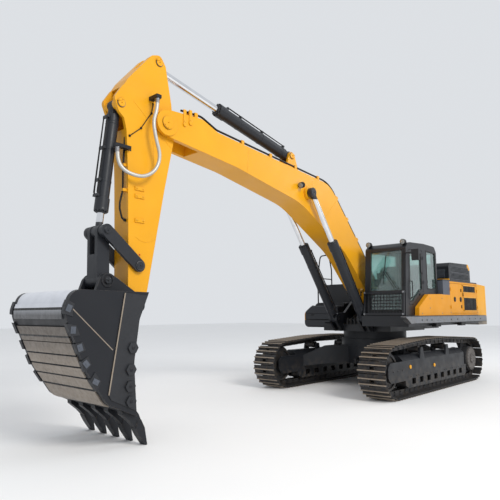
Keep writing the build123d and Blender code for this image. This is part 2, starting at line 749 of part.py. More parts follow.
def build_side_doors():
    for name, hinge_x, free_x, sign in SIDE_DOOR_ROWS:
        low_x, high_x = sorted((hinge_x, free_x))
        y_limits = sorted((sign * (HOUSE_HALF - PANEL), sign * HOUSE_HALF))
        with BuildPart() as door:
            block((low_x, high_x), y_limits, (SIDE_DOOR_LOW_Z, SIDE_DOOR_HIGH_Z))
            knuckles((hinge_x, sign * (HOUSE_HALF + KNUCKLE_RADIUS)), SIDE_DOOR_LOW_Z, SIDE_DOOR_HIGH_Z)
            face = sorted((sign * (HOUSE_HALF - LOUVRE_DEPTH), sign * (HOUSE_HALF + 1)))
            for from_hinge, length, base_z, count in DOOR_GRILLES[name]:
                for index in range(count):
                    z = base_z + index * LOUVRE_PITCH
                    first_x = hinge_x + from_hinge
                    block((first_x, first_x + length), face, (z, z + LOUVRE_GAP), Mode.SUBTRACT)
            for from_hinge in DOOR_VENTS[name]:
                disc((hinge_x + from_hinge, DOOR_VENT_Z), DOOR_VENT_RADIUS, *face, Mode.SUBTRACT)
        save(door, name)


HOOD_OPENING_X = (DECK_REAR_X + 125, -1480)
HOOD_OPENING_Y = (-420, HOUSE_HALF - 320)
HOOD_X = (DECK_REAR_X - 105, -1366)
HOOD_Y = (-520, HOUSE_HALF - 200)
HOOD_TOP_Z = 3020
HOOD_WALL = 35
HOOD_KNUCKLE = 80
ROOF_PLATE = 30
ROOF_TOP_Z = BODY_TOP_Z + ROOF_PLATE
HOOD_LOUVRE_Z = (2575, 2755)
HOOD_LOUVRES = 4
HOOD_GRILLE = 18


def build_roof_cover():
    with BuildPart() as cover:
        block((DECK_REAR_X, BODY_FRONT_X), (-HOUSE_HALF, HOUSE_HALF), (BODY_TOP_Z, ROOF_TOP_Z))
        block(HOOD_OPENING_X, HOOD_OPENING_Y, (BODY_TOP_Z, ROOF_TOP_Z), Mode.SUBTRACT)
        block((BODY_FRONT_X - PANEL, BODY_FRONT_X), (-BODY_INNER_Y, BODY_INNER_Y), (DECK_TOP_Z, BODY_TOP_Z))
    save(cover, "roof_cover")


def hood_grille_places():
    """Limits of the two grilles on each side of the hood, set flush in its walls."""
    height = HOOD_LOUVRES * LOUVRE_PITCH + (LOUVRE_PITCH - LOUVRE_GAP)
    return [
        ((HOOD_X[0] + 110, HOOD_X[1] - 110), y_limits, (low, low + height))
        for low in HOOD_LOUVRE_Z
        for y_limits in ((HOOD_Y[1] - HOOD_GRILLE, HOOD_Y[1]), (HOOD_Y[0], HOOD_Y[0] + HOOD_GRILLE))
    ]


def build_engine_hood():
    low_z = ROOF_TOP_Z + SEAT_GAP
    rows = [(HOOD_X[0], low_z, 0), (HOOD_X[0], 2900, 60), (HOOD_X[0] + 110, HOOD_TOP_Z, 60),
            (HOOD_X[1] - 90, HOOD_TOP_Z - 30, 60), (HOOD_X[1], 2900, 60), (HOOD_X[1], low_z, 0)]
    rear_x, front_x = HOOD_X[0] + HOOD_WALL, HOOD_X[1] - HOOD_WALL
    room = [(rear_x, low_z - 1, 0), (rear_x, 2880, 40), (HOOD_X[0] + 130, HOOD_TOP_Z - 40, 40),
            (HOOD_X[1] - 110, HOOD_TOP_Z - 70, 40), (front_x, 2870, 40), (front_x, low_z - 1, 0)]
    with BuildPart() as hood:
        plate(rows, HOOD_Y[0], HOOD_Y[1])
        plate(room, HOOD_Y[0] + HOOD_WALL, HOOD_Y[1] - HOOD_WALL, Mode.SUBTRACT)
        for x_limits, y_limits, z_limits in hood_grille_places():
            block(x_limits, y_limits, z_limits, Mode.SUBTRACT)
        for y in (HOOD_Y[0] + 200, HOOD_Y[1] - 200 - HOOD_KNUCKLE):
            disc((HOOD_X[0], low_z + KNUCKLE_RADIUS), KNUCKLE_RADIUS, y, y + HOOD_KNUCKLE)
    save(hood, "engine_hood")
    with BuildPart() as grilles:
        for x_limits, y_limits, z_limits in hood_grille_places():
            block(x_limits, y_limits, z_limits)
            first = z_limits[0] + (LOUVRE_PITCH - LOUVRE_GAP)
            for index in range(HOOD_LOUVRES):
                z = first + index * LOUVRE_PITCH
                block((x_limits[0] + 15, x_limits[1] - 15), y_limits, (z, z + LOUVRE_GAP), Mode.SUBTRACT)
    save(grilles, "hood_grilles")


def across(rows, x_low, x_high):
    """Solid of constant section along the machine. Each row is y, z and the corner's radius."""
    points = [(y, z) for y, z, radius in rows]
    radii = [radius for y, z, radius in rows]
    with BuildSketch(Plane.YZ.offset(x_low)) as outline:
        with BuildLine():
            FilletPolyline(*points, radius=radii, close=True)
        make_face()
    extrude(outline.sketch, amount=x_high - x_low)


def build_right_side():
    """Tanks behind, rounded tool box in front of them, the rail on top and the exhaust pipe."""
    out_y = -HOUSE_HALF
    low_tank = [(RIGHT_IN_Y, DECK_TOP_Z, 0), (out_y, DECK_TOP_Z, 0), (out_y, 1745, 120),
                (out_y + 235, TANK_TOP_Z, 150), (RIGHT_IN_Y, TANK_TOP_Z, 40)]
    with BuildPart() as tanks:
        block((-915, TANK_STEP_X), (out_y + 40, -BODY_INNER_Y - 5), (DECK_TOP_Z, BODY_TOP_Z))
        across(low_tank, TANK_STEP_X, TOOLBOX_REAR_X)
    save(tanks, "tanks")
    step_y = -905
    box = [(RIGHT_IN_Y, DECK_MID_Z, 0), (step_y, DECK_MID_Z, 0), (step_y, TOOLBOX_LOW_Z, 0),
           (out_y + 18, TOOLBOX_LOW_Z, 115), (out_y + 18, 1735, 150),
           (out_y + 245, TOOLBOX_TOP_Z, 150), (RIGHT_IN_Y, TOOLBOX_TOP_Z, 30)]
    with BuildPart() as toolbox:
        across(box, TOOLBOX_REAR_X, TOOLBOX_FRONT_X)
        front = toolbox.faces().sort_by(Axis.X)[-1]
        chamfer(front.edges(), length=TOOLBOX_CHAMFER)
        for z, height in TOOLBOX_GROOVES:
            block((TOOLBOX_FRONT_X - TOOLBOX_GROOVE_DEPTH, TOOLBOX_FRONT_X + 1), (out_y, RIGHT_IN_Y - 60),
                  (z, z + height), Mode.SUBTRACT)
    save(toolbox, "right_toolbox")
    y = out_y + 150
    foot_z = DECK_TOP_Z + 100
    rail_points = [(RAIL_HALF_X, y, foot_z), (RAIL_HALF_X, y, 2700), (198, y, 3241), (-214, y, 3321),
                   (-RAIL_HALF_X, y, 2900), (-RAIL_HALF_X, y, foot_z)]
    with BuildPart() as rail:
        tube_along(rail_points, (300, 140, 140, 300), RAIL_RADIUS)
        with BuildSketch(Plane.YZ.offset(-RAIL_HALF_X)) as bar:
            with Locations((y, RAIL_BAR_Z)):
                Circle(RAIL_BAR_RADIUS)
        extrude(bar.sketch, amount=2 * RAIL_HALF_X)
        add(tanks.part, mode=Mode.SUBTRACT)
        upper = rail.solids().sort_by(Axis.Z)[-1]
    with BuildPart() as handrail:
        add(upper)
    save(handrail, "handrail")
    with BuildPart() as exhaust:
        with BuildSketch(Plane.XY.offset(ROOF_TOP_Z)) as pipe:
            with Locations((DECK_REAR_X + 545, 600 - HOUSE_HALF)):
                Circle(EXHAUST_RADIUS)
        extrude(pipe.sketch, amount=EXHAUST_HEIGHT)
    save(exhaust, "exhaust_pipe")
    rear_x = DECK_REAR_X - 262
    walk_rows = [(1807, CATWALK_TOP_Z - 15, 0), (1546, CATWALK_LOW_Z, 0), (rear_x, CATWALK_LOW_Z, 0),
                 (rear_x, CATWALK_TOP_Z - 35, 0), (rear_x + 17, CATWALK_TOP_Z, 0), (1780, CATWALK_TOP_Z, 0)]
    with BuildPart() as walk:
        plate(walk_rows, HOUSE_HALF, CATWALK_OUT_Y)
    save(walk, "left_catwalk")


# Cab: side outline, and its openings
CAB_ROWS = [
    (1335, DECK_TOP_Z, 0),
    (1203, 3150, 90),
    (1050, 3262, 200),
    (300, 3292, 600),
    (-300, 3275, 120),
    (CAB_REAR_X, 3150, 90),
    (CAB_REAR_X, DECK_TOP_Z, 0),
]
CAB_ROOM_ROWS = [
    (1278, DECK_TOP_Z + CAB_WALL, 0),
    (1155, 3110, 60),
    (1040, 3205, 150),
    (300, 3232, 600),
    (-290, 3215, 80),
    (CAB_REAR_X + CAB_WALL, 3110, 60),
    (CAB_REAR_X + CAB_WALL, DECK_TOP_Z + CAB_WALL, 0),
]
DOOR_ROWS = [
    (400, 2190, 20),
    (520, 2178, 60),
    (930, 1905, 90),
    (1150, 1880, 60),
    (1095, 3090, 60),
    (400, 3130, 60),
]
DOOR_GLASS_ROWS = [
    (470, 2235, 30),
    (560, 2220, 60),
    (950, 1975, 60),
    (1083, 1960, 40),
    (1035, 3020, 40),
    (470, 3055, 40),
]
REAR_SIDE_GLASS_ROWS = [(-330, 2260, 80), (170, 2260, 80), (170, 3140, 80), (-330, 3120, 80)]
RIGHT_GLASS_ROWS = [(-280, 2260, 60), (1120, 2260, 60), (1065, 3090, 60), (-280, 3120, 60)]
FRONT_GLASS_Y = (CAB_IN_Y + 135, CAB_OUT_Y - 85)
FRONT_GLASS_Z = (2190, 3090)
FRONT_LOWER_Z = (1760, 2130)
REAR_GLASS_Y = (CAB_IN_Y + 135, CAB_OUT_Y - 130)
REAR_GLASS_Z = (2520, 3120)


def front_wall_x(z, depth=0):
    """X of the sloping front wall at a height, at a depth behind its face."""
    low, high = CAB_ROWS[0], CAB_ROWS[1]
    return low[0] + (high[0] - low[0]) * (z - low[1]) / (high[1] - low[1]) - depth


def sloped(low, high, front, rear):
    """Rows of a strip along the front wall, between two heights and two depths behind its face."""
    return [(front_wall_x(low, front), low, 0), (front_wall_x(high, front), high, 0),
            (front_wall_x(high, rear), high, 0), (front_wall_x(low, rear), low, 0)]


def grown(rows, amount):
    """Rows moved outwards from their middle, for a gap round a door."""
    middle_x = (min(row[0] for row in rows) + max(row[0] for row in rows)) / 2
    middle_z = (min(row[1] for row in rows) + max(row[1] for row in rows)) / 2
    half_x = max(row[0] for row in rows) - middle_x
    half_z = max(row[1] for row in rows) - middle_z
    return [
        (middle_x + (x - middle_x) * (1 + amount / half_x),
         middle_z + (z - middle_z) * (1 + amount / half_z), radius)
        for x, z, radius in rows
    ]


def build_cab():
    lip_out_y = CAB_OUT_Y - CAB_WALL
    lip_in_y = lip_out_y - DOOR_LIP
    length = (CAB_REAR_X - 1, 1400)
    width = (CAB_IN_Y - 1, CAB_OUT_Y + 1)
    with BuildPart() as shell:
        plate(CAB_ROWS, CAB_IN_Y, CAB_OUT_Y)
        plate(CAB_ROOM_ROWS, CAB_IN_Y + CAB_WALL, CAB_OUT_Y - CAB_WALL, Mode.SUBTRACT)
        plate(grown(DOOR_ROWS, DOOR_LIP_OUT), lip_in_y, lip_out_y)
        plate(grown(DOOR_ROWS, -DOOR_LIP_IN), lip_in_y - 1, CAB_OUT_Y + 1, Mode.SUBTRACT)
        plate(grown(DOOR_ROWS, DOOR_EDGE), lip_out_y - SEAT_GAP, CAB_OUT_Y + 1, Mode.SUBTRACT)
        plate(REAR_SIDE_GLASS_ROWS, lip_out_y - 1, CAB_OUT_Y + 1, Mode.SUBTRACT)
        plate(RIGHT_GLASS_ROWS, CAB_IN_Y - 1, CAB_IN_Y + CAB_WALL + 1, Mode.SUBTRACT)
        block((1100, 1400), FRONT_GLASS_Y, FRONT_GLASS_Z, Mode.SUBTRACT)
        block((1100, 1400), FRONT_GLASS_Y, FRONT_LOWER_Z, Mode.SUBTRACT)
        block((CAB_REAR_X - 1, CAB_REAR_X + CAB_WALL + 1), REAR_GLASS_Y, REAR_GLASS_Z, Mode.SUBTRACT)
        block(length, width, (CAB_ROOF_Z, 3400), Mode.SUBTRACT)
    save(shell, "cab_shell")
    with BuildPart() as roof:
        plate(CAB_ROWS, CAB_IN_Y, CAB_OUT_Y)
        plate(CAB_ROOM_ROWS, CAB_IN_Y + CAB_WALL, CAB_OUT_Y - CAB_WALL, Mode.SUBTRACT)
        block(length, width, (DECK_TOP_Z - 1, CAB_ROOF_Z), Mode.SUBTRACT)
    save(roof, "cab_roof")
    depth = 20
    with BuildPart() as glass:
        plate(REAR_SIDE_GLASS_ROWS, CAB_OUT_Y - depth - GLASS, CAB_OUT_Y - depth)
        plate(RIGHT_GLASS_ROWS, CAB_IN_Y + depth, CAB_IN_Y + depth + GLASS)
        for low, high in (FRONT_GLASS_Z, FRONT_LOWER_Z):
            plate(sloped(low, high, depth, depth + GLASS), *FRONT_GLASS_Y)
        block((CAB_REAR_X + depth, CAB_REAR_X + depth + GLASS), REAR_GLASS_Y, REAR_GLASS_Z)
    save(glass, "cab_glass")
    with BuildPart() as door:
        plate(DOOR_ROWS, CAB_OUT_Y - CAB_WALL, CAB_OUT_Y)
        plate(DOOR_GLASS_ROWS, CAB_OUT_Y - CAB_WALL, CAB_OUT_Y, Mode.SUBTRACT)
        hinge_y = CAB_OUT_Y + KNUCKLE_RADIUS + 1
        knuckles((DOOR_HINGE_X, hinge_y), 2250, 3100)
        for z in (2360, 2910):
            block((DOOR_HINGE_X, 445), (CAB_OUT_Y + 2, CAB_OUT_Y + 10), (z, z + 80))
            block((405, 445), (CAB_OUT_Y - 5, CAB_OUT_Y + 10), (z, z + 80))
    save(door, "cab_door")
    with BuildPart() as door_glass:
        plate(DOOR_GLASS_ROWS, CAB_OUT_Y - depth - GLASS, CAB_OUT_Y - depth)
    save(door_glass, "door_glass")


def build_cab_inside():
    floor = DECK_TOP_Z + CAB_WALL
    with BuildPart() as console:
        block((-120, 420), (SEAT_Y - 200, SEAT_Y + 200), (floor, 2010))
        block((100, 620), (SEAT_Y - 310, SEAT_Y - 210), (floor, 2230))
        block((100, 620), (SEAT_Y + 210, SEAT_Y + 310), (floor, 2230))
    save(console, "cab_console")
    back_z = 2150 + SEAT_GAP
    with BuildPart() as seat:
        plate([(-60, 2010 + SEAT_GAP, 20), (-60, 2150, 40), (420, 2150, 50), (440, 2010 + SEAT_GAP, 20)],
              SEAT_Y - 200, SEAT_Y + 200)
        plate([(-75, back_z, 30), (-260, 2780, 35), (-160, 2830, 35), (60, back_z, 30)],
              SEAT_Y - 190, SEAT_Y + 190)
    save(seat, "cab_seat")


def build_cab_outside():
    """Steel grille in front of the lower front glass, and the mirror."""
    with BuildPart() as guard:
        open_low, open_high = GUARD_LOW_Z + 50, GUARD_HIGH_Z - 60
        for low, high in ((GUARD_LOW_Z, open_low), (open_high, GUARD_HIGH_Z)):
            plate(sloped(low, high, *GUARD_RAIL_DEPTHS), CAB_IN_Y + 10, CAB_OUT_Y - 10)
        for y in (CAB_IN_Y + 10, CAB_OUT_Y - 50):
            plate(sloped(GUARD_LOW_Z, GUARD_HIGH_Z, *GUARD_RAIL_DEPTHS), y, y + 40)
            plate(sloped(GUARD_HIGH_Z - 50, GUARD_HIGH_Z - 10, -30, 0), y, y + 40)
        guard_low, guard_high = CAB_IN_Y + 50, CAB_OUT_Y - 50
        spacing = (guard_high - guard_low) / (GUARD_UPRIGHTS + 1)
        for index in range(GUARD_UPRIGHTS):
            y = guard_low + spacing * (index + 1) - GUARD_BAR / 2
            plate(sloped(open_low - 10, open_high + 10, *GUARD_UPRIGHT_DEPTHS), y, y + GUARD_BAR)
        spacing = (open_high - open_low) / (GUARD_LEVELS + 1)
        for index in range(GUARD_LEVELS):
            low = open_low + spacing * (index + 1) - GUARD_BAR / 2
            plate(sloped(low, low + GUARD_BAR, *GUARD_LEVEL_DEPTHS), guard_low - 5, guard_high + 5)
    save(guard, "front_guard")
    with BuildPart() as mirror:
        low_z, high_z = MIRROR_Z - 120, MIRROR_Z + 120
        block((MIRROR_X - 30, MIRROR_X + 30), (CAB_OUT_Y + 140, CAB_OUT_Y + 300), (low_z, high_z))
        block((MIRROR_X - 15, MIRROR_X + 15), (CAB_OUT_Y, CAB_OUT_Y + 150), (high_z - 80, high_z - 50))
    save(mirror, "mirror")
    with BuildPart() as lamps:
        for y in (CAB_IN_Y + 75, CAB_OUT_Y - 75):
            face_x = LAMP_X + 5
            foot = [(LAMP_X - 75, 3185, 0), (LAMP_X - 75, 3290, 20), (face_x, 3290, 20), (face_x, 3185, 0)]
            plate(foot, y - 22, y + 22)
            with BuildSketch(Plane(origin=(face_x, y, LAMP_Z), x_dir=(0, 1, 0), z_dir=(1, 0, 0))) as lamp:
                Circle(LAMP_RADIUS)
            extrude(lamp.sketch, amount=LAMP_DEPTH)
        plate(CAB_ROWS, CAB_IN_Y, CAB_OUT_Y, Mode.SUBTRACT)
    save(lamps, "work_lamps")


# Working gear
def build_boom():
    foot, tip = BOOM_FOOT, BOOM_TIP
    rows = [
        (foot[0] - 150, foot[1] - 110, 150),
        (foot[0] - 185, foot[1] + 90, 150),
        (875, 3110, 1500),
        (2250, 4545, 700),
        (5700, 4835, 400),
        (6060, 4975, 300),
        (tip[0] + 30, tip[1] + 225, 190),
        (tip[0] + 225, tip[1] - 30, 190),
        (tip[0] - 60, tip[1] - 215, 190),
        (5224, 4318, 2500),
        (3330, 3965, 1800),
        (1691, 3085, 1800),
        (925, 2330, 900),
        (foot[0] + 90, foot[1] - 185, 150),
    ]
    eye = BOOM_CYLINDER_EYE
    cylinder = ARM_CYLINDER_FOOT
    with BuildPart() as boom:
        plate(rows, -BOOM_HALF, BOOM_HALF)
        block((BOOM_SLOT_X, 7200), (-ARM_SLOT_HALF, ARM_SLOT_HALF), (4200, 5200), Mode.SUBTRACT)
        disc_pair(tip, 205, BOOM_HALF - 40, BOOM_HALF + 20)
        disc_pair(eye, 130, BOOM_HALF - 20, BOOM_CYLINDER_Y - BOOM_ROD_RADIUS - MOVING_GAP)
        ears = [(cylinder[0] - 260, 4600, 0), (cylinder[0] - 95, cylinder[1] + 60, 80),
                (cylinder[0] + 40, cylinder[1] + 105, 80), (cylinder[0] + 105, cylinder[1] - 60, 80),
                (cylinder[0] + 180, 4620, 0)]
        pair(ears, EYE_HALF_ARM + MOVING_GAP, EYE_HALF_ARM + MOVING_GAP + EAR_PLATE)
        disc(foot, FOOT_PIN_RADIUS + PIN_PLAY, -BOOM_HALF, BOOM_HALF, Mode.SUBTRACT)
        disc(tip, TIP_PIN_RADIUS + PIN_PLAY, -BOOM_HALF - 30, BOOM_HALF + 30, Mode.SUBTRACT)
        reach = EYE_HALF_ARM + MOVING_GAP + EAR_PLATE
        disc(cylinder, CYLINDER_PIN_RADIUS + PIN_PLAY, -reach, reach, Mode.SUBTRACT)
    save(boom, "boom")
    with BuildPart() as pins:
        disc(tip, TIP_PIN_RADIUS, -BOOM_HALF - 34, BOOM_HALF + 34)
        disc_pair(tip, TIP_PIN_RADIUS + 40, BOOM_HALF + 20 + SEAT_GAP, BOOM_HALF + 34)
        disc(cylinder, CYLINDER_PIN_RADIUS, -reach - PIN_HEAD, reach + PIN_HEAD)
        disc_pair(cylinder, CYLINDER_PIN_RADIUS + 18, reach + SEAT_GAP, reach + PIN_HEAD)
    save(pins, "boom_pins")
    with BuildPart() as pipes:
        for sign in (1, -1):
            y = sign * BOOM_PIPE_Y
            tube_along([(x, y, z) for x, z, radius in BOOM_PIPE_ROWS],
                       [radius for x, z, radius in BOOM_PIPE_ROWS[1:-1]], BOOM_PIPE_RADIUS)
            for start, end, share in BOOM_CLAMPS:
                first, last = rows[start], rows[end]
                run = hypot(last[0] - first[0], last[1] - first[1])
                along = ((last[0] - first[0]) / run, (last[1] - first[1]) / run)
                out = (-along[1], along[0])
                foot = (first[0] + along[0] * run * share, first[1] + along[1] * run * share)
                half, rise = BOOM_CLAMP_HALF, BOOM_CLAMP_RISE
                clamp = [(foot[0] + along[0] * a + out[0] * b, foot[1] + along[1] * a + out[1] * b, 0)
                         for a, b in ((-half, SEAT_GAP), (half, SEAT_GAP), (half, rise), (-half, rise))]
                plate(clamp, y - half, y + half)
    save(pipes, "boom_pipes")
    lamp_x, lamp_z = BOOM_LAMP
    lamp_y = BOOM_HALF + BOOM_LAMP_OUT
    aimed = Plane(origin=(lamp_x, lamp_y, lamp_z), x_dir=(0, 1, 0), z_dir=(0.94, 0, -0.34))
    with BuildPart() as lamp:
        with BuildSketch(aimed) as cup:
            Circle(LAMP_RADIUS)
        extrude(cup.sketch, amount=LAMP_DEPTH)
        block((lamp_x - 25, lamp_x + 25), (BOOM_HALF, lamp_y), (lamp_z - 22, lamp_z + 22))
    save(lamp, "boom_lamp")


def build_cylinder(start, end, lateral, eye_half, pin_radius, barrel, rod, names):
    """Barrel and rod. barrel and rod are radius and length, and lateral the places across."""
    eye_radius = barrel[0] - 6
    run = hypot(end[0] - start[0], end[1] - start[1])
    rod_begin = run - rod[1]
    with BuildPart() as tube:
        for y in lateral:
            disc(start, eye_radius, y - eye_half, y + eye_half)
            round_along(start, end, y, barrel[0] - 12, 40, 160)
            round_along(start, end, y, barrel[0], BARREL_BEGIN, barrel[1] - BARREL_BEGIN)
            round_along(start, end, y, barrel[0] + 12, barrel[1] - 190, 150)
            disc(start, pin_radius + PIN_PLAY, y - eye_half, y + eye_half, Mode.SUBTRACT)
            for low, high in ((eye_half, barrel[0] + 20), (-barrel[0] - 20, -eye_half)):
                disc(start, BARREL_BEGIN, y + low, y + high, Mode.SUBTRACT)
            round_along(start, end, y, rod[0] + PIN_PLAY, BARREL_BEGIN, barrel[1], Mode.SUBTRACT)
    save(tube, names[0])
    with BuildPart() as shaft:
        for y in lateral:
            round_along(start, end, y, rod[0], rod_begin, rod[1])
            disc(end, eye_radius, y - eye_half, y + eye_half)
            for low, high in ((eye_half, barrel[0]), (-barrel[0], -eye_half)):
                disc(end, eye_radius + 4, y + low, y + high, Mode.SUBTRACT)
    save(shaft, names[1])


def build_cylinders():
    build_cylinder(
        BOOM_CYLINDER_FOOT, BOOM_CYLINDER_EYE, (BOOM_CYLINDER_Y, -BOOM_CYLINDER_Y), EYE_HALF_BOOM,
        CYLINDER_PIN_RADIUS, (BOOM_BARREL_RADIUS, BOOM_BARREL_LENGTH), (BOOM_ROD_RADIUS, BOOM_ROD_LENGTH),
        ("boom_cylinder_barrels", "boom_cylinder_rods"))
    build_cylinder(
        ARM_CYLINDER_FOOT, ARM_CYLINDER_EYE, (0,), EYE_HALF_ARM, CYLINDER_PIN_RADIUS,
        (ARM_BARREL_RADIUS, ARM_BARREL_LENGTH), (ARM_ROD_RADIUS, ARM_ROD_LENGTH),
        ("arm_cylinder_barrel", "arm_cylinder_rod"))
    build_cylinder(
        BUCKET_CYLINDER_FOOT, LINK_TOP, (0,), EYE_HALF_BUCKET, LINK_PIN_RADIUS,
        (BUCKET_BARREL_RADIUS, BUCKET_BARREL_LENGTH), (BUCKET_ROD_RADIUS, BUCKET_ROD_LENGTH),
        ("bucket_cylinder_barrel", "bucket_cylinder_rod"))


def build_arm():
    eye, tip, end, guide = ARM_CYLINDER_EYE, BOOM_TIP, BUCKET_PIN, LINK_FOOT
    foot = BUCKET_CYLINDER_FOOT
    rows = [
        (eye[0] - 130, eye[1] - 20, 80),
        (6660, 5059, 500),
        (6600, 4470, 300),
        (6770, 3647, 900),
        (end[0] - 150, end[1] + 20, 130),
        (end[0] - 20, end[1] - 160, 130),
        (end[0] + 145, end[1] - 10, 130),
        (7408, 2638, 900),
        (7447, 3742, 900),
        (7490, 4420, 300),
        (7640, 4960, 200),
        (7483, 5238, 300),
        (7060, 5760, 100),
        (eye[0] - 20, eye[1] + 130, 80),
    ]
    slot = [(eye[0] - 420, eye[1] - 190, 60), (eye[0] + 60, eye[1] - 210, 60),
            (eye[0] + 700, eye[1] - 100, 0), (eye[0] + 700, eye[1] + 500, 0), (eye[0] - 420, eye[1] + 500, 0)]
    slot_half = EYE_HALF_ARM + MOVING_GAP
    ears = [(7420, 4500, 0), (foot[0] + 40, foot[1] - 130, 100), (foot[0] + 120, foot[1] + 60, 100),
            (7560, 5120, 60), (7400, 5100, 0)]
    ear_in = ARM_HALF - 54
    boss_in = EYE_HALF_BUCKET + MOVING_GAP
    pocket = [(7330, 4480, 60), (7330, 5030, 60), (7800, 5150, 0), (7800, 4400, 0)]
    with BuildPart() as arm:
        plate(rows, -ARM_HALF, ARM_HALF)
        pair(ears, ear_in, ARM_HALF)
        plate(pocket, -ear_in, ear_in, Mode.SUBTRACT)
        disc_pair(foot, 88, boss_in, ear_in)
        plate(slot, -slot_half, slot_half, Mode.SUBTRACT)
        first, last = ARM_HOSE[0], ARM_HOSE[-1]
        block((first[0] - 45, first[0] + 45), (ARM_HALF, first[1] + 42), (first[2], first[2] + 55))
        block((7440, last[0] + 45), (150, last[1] + 40), (last[2], last[2] + 50))
        disc(tip, TIP_PIN_RADIUS + PIN_PLAY, -ARM_HALF, ARM_HALF, Mode.SUBTRACT)
        disc(end, BUCKET_PIN_RADIUS + PIN_PLAY, -ARM_HALF, ARM_HALF, Mode.SUBTRACT)
        disc(guide, LINK_PIN_RADIUS + PIN_PLAY, -ARM_HALF, ARM_HALF, Mode.SUBTRACT)
        disc(foot, LINK_PIN_RADIUS + PIN_PLAY, -ARM_HALF, ARM_HALF, Mode.SUBTRACT)
        disc_pair(eye, CYLINDER_PIN_RADIUS + PIN_PLAY, slot_half, ARM_HALF, Mode.SUBTRACT)
    save(arm, "arm")
    with BuildPart() as pins:
        disc_pair(eye, CYLINDER_PIN_RADIUS, slot_half, ARM_HALF + PIN_HEAD)
        disc_pair(eye, CYLINDER_PIN_RADIUS + 18, ARM_HALF + SEAT_GAP, ARM_HALF + PIN_HEAD)
        disc(guide, LINK_PIN_RADIUS, -GUIDE_OUT - PIN_HEAD, GUIDE_OUT + PIN_HEAD)
        disc_pair(guide, LINK_PIN_RADIUS + 18, GUIDE_OUT + SEAT_GAP, GUIDE_OUT + PIN_HEAD)
        disc(foot, LINK_PIN_RADIUS, -ARM_HALF - PIN_HEAD, ARM_HALF + PIN_HEAD)
        disc_pair(foot, LINK_PIN_RADIUS + 18, ARM_HALF + SEAT_GAP, ARM_HALF + PIN_HEAD)
    save(pins, "arm_pins")


def bend_radii(points):
    """Corner radii that leave a short straight run between each two bends."""
    radii = []
    for before, at, after in zip(points, points[1:], points[2:]):
        first = [b - a for a, b in zip(before, at)]
        second = [b - a for a, b in zip(at, after)]
        runs = [sqrt(sum(part * part for part in step)) for step in (first, second)]
        turn = acos(sum(a * b for a, b in zip(first, second)) / (runs[0] * runs[1]))
        radii.append(0.45 * min(runs) / tan(turn / 2))
    return radii


def build_arm_hose():
    radii = bend_radii(ARM_HOSE)
    with BuildPart() as hose:
        length = tube_along(ARM_HOSE, radii, ARM_HOSE_RADIUS)
    print("arm_hose bend radii", [round(radius) for radius in radii])
    print("arm_hose length", round(length), "volume over section times length",
          round(hose.part.volume / (pi * ARM_HOSE_RADIUS**2 * length), 4))
    save(hose, "arm_hose")


def strap(start, end, start_radius, end_radius, y_low, y_high, mode=Mode.ADD):
    """Flat link with a round end at each of two points."""
    run = hypot(end[0] - start[0], end[1] - start[1])
    normal = (-(end[1] - start[1]) / run, (end[0] - start[0]) / run)
    corners = [(start, start_radius), (start, -start_radius), (end, -end_radius), (end, end_radius)]
    points = [(place[0] + normal[0] * reach, place[1] + normal[1] * reach) for place, reach in corners]
    with BuildSketch(side(y_high)) as outline:
        with BuildLine():
            Polyline(*points, close=True)
        make_face()
        with Locations(start):
            Circle(start_radius)
        with Locations(end):
            Circle(end_radius)
    extrude(outline.sketch, amount=y_high - y_low, mode=mode)


def build_links():
    with BuildPart() as guides:
        for sign in (1, -1):
            outer = sorted((sign * GUIDE_IN, sign * GUIDE_OUT))
            boss = sorted((sign * GUIDE_BOSS_IN, sign * GUIDE_OUT))
            stub = sorted((sign * LINK_EAR_IN, sign * (GUIDE_OUT + PIN_HEAD)))
            strap(LINK_FOOT, LINK_TOP, 92, 92, *outer)
            disc(LINK_TOP, 88, *boss)
            disc(LINK_TOP, LINK_PIN_RADIUS, *stub)
            disc(LINK_FOOT, LINK_PIN_RADIUS + PIN_PLAY, *outer, Mode.SUBTRACT)
    save(guides, "guide_links")
    slot_start = tuple(a + (b - a) * LINK_SLOT_SHARES[0] for a, b in zip(LINK_TOP, BUCKET_LINK_PIN))
    slot_end = tuple(a + (b - a) * LINK_SLOT_SHARES[1] for a, b in zip(LINK_TOP, BUCKET_LINK_PIN))
    with BuildPart() as link:
        strap(LINK_TOP, BUCKET_LINK_PIN, 95, 100, -LINK_EAR_OUT, LINK_EAR_OUT)
        strap(slot_start, slot_end, 130, 130, -LINK_EAR_IN, LINK_EAR_IN, Mode.SUBTRACT)
        disc(BUCKET_LINK_PIN, 105, -ARM_HALF, ARM_HALF)
        for low, high in ((LINK_EAR_IN, LINK_EAR_OUT), (-LINK_EAR_OUT, -LINK_EAR_IN)):
            disc(LINK_TOP, LINK_PIN_RADIUS + PIN_PLAY, low, high, Mode.SUBTRACT)
    save(link, "bucket_link")


BUCKET_ROWS = [
    (7445, 2005, 0),
    (7590, 1640, 200),
    (7660, 1080, 600),
    (7600, 392, 0),
    (8040, 600, 160),
    (8330, 1010, 700),
    (8655, 1720, 260),
    (8560, 2015, 160),
]
BUCKET_ROOM_ROWS = [
    (7560, 1850, 60),
    (7000, 1700, 0),
    (7000, 300, 0),
    (7560, 410, 0),
    (8015, 632, 140),
    (8300, 1035, 680),
    (8618, 1730, 230),
    (8535, 1980, 130),
    (7700, 1975, 100),
]


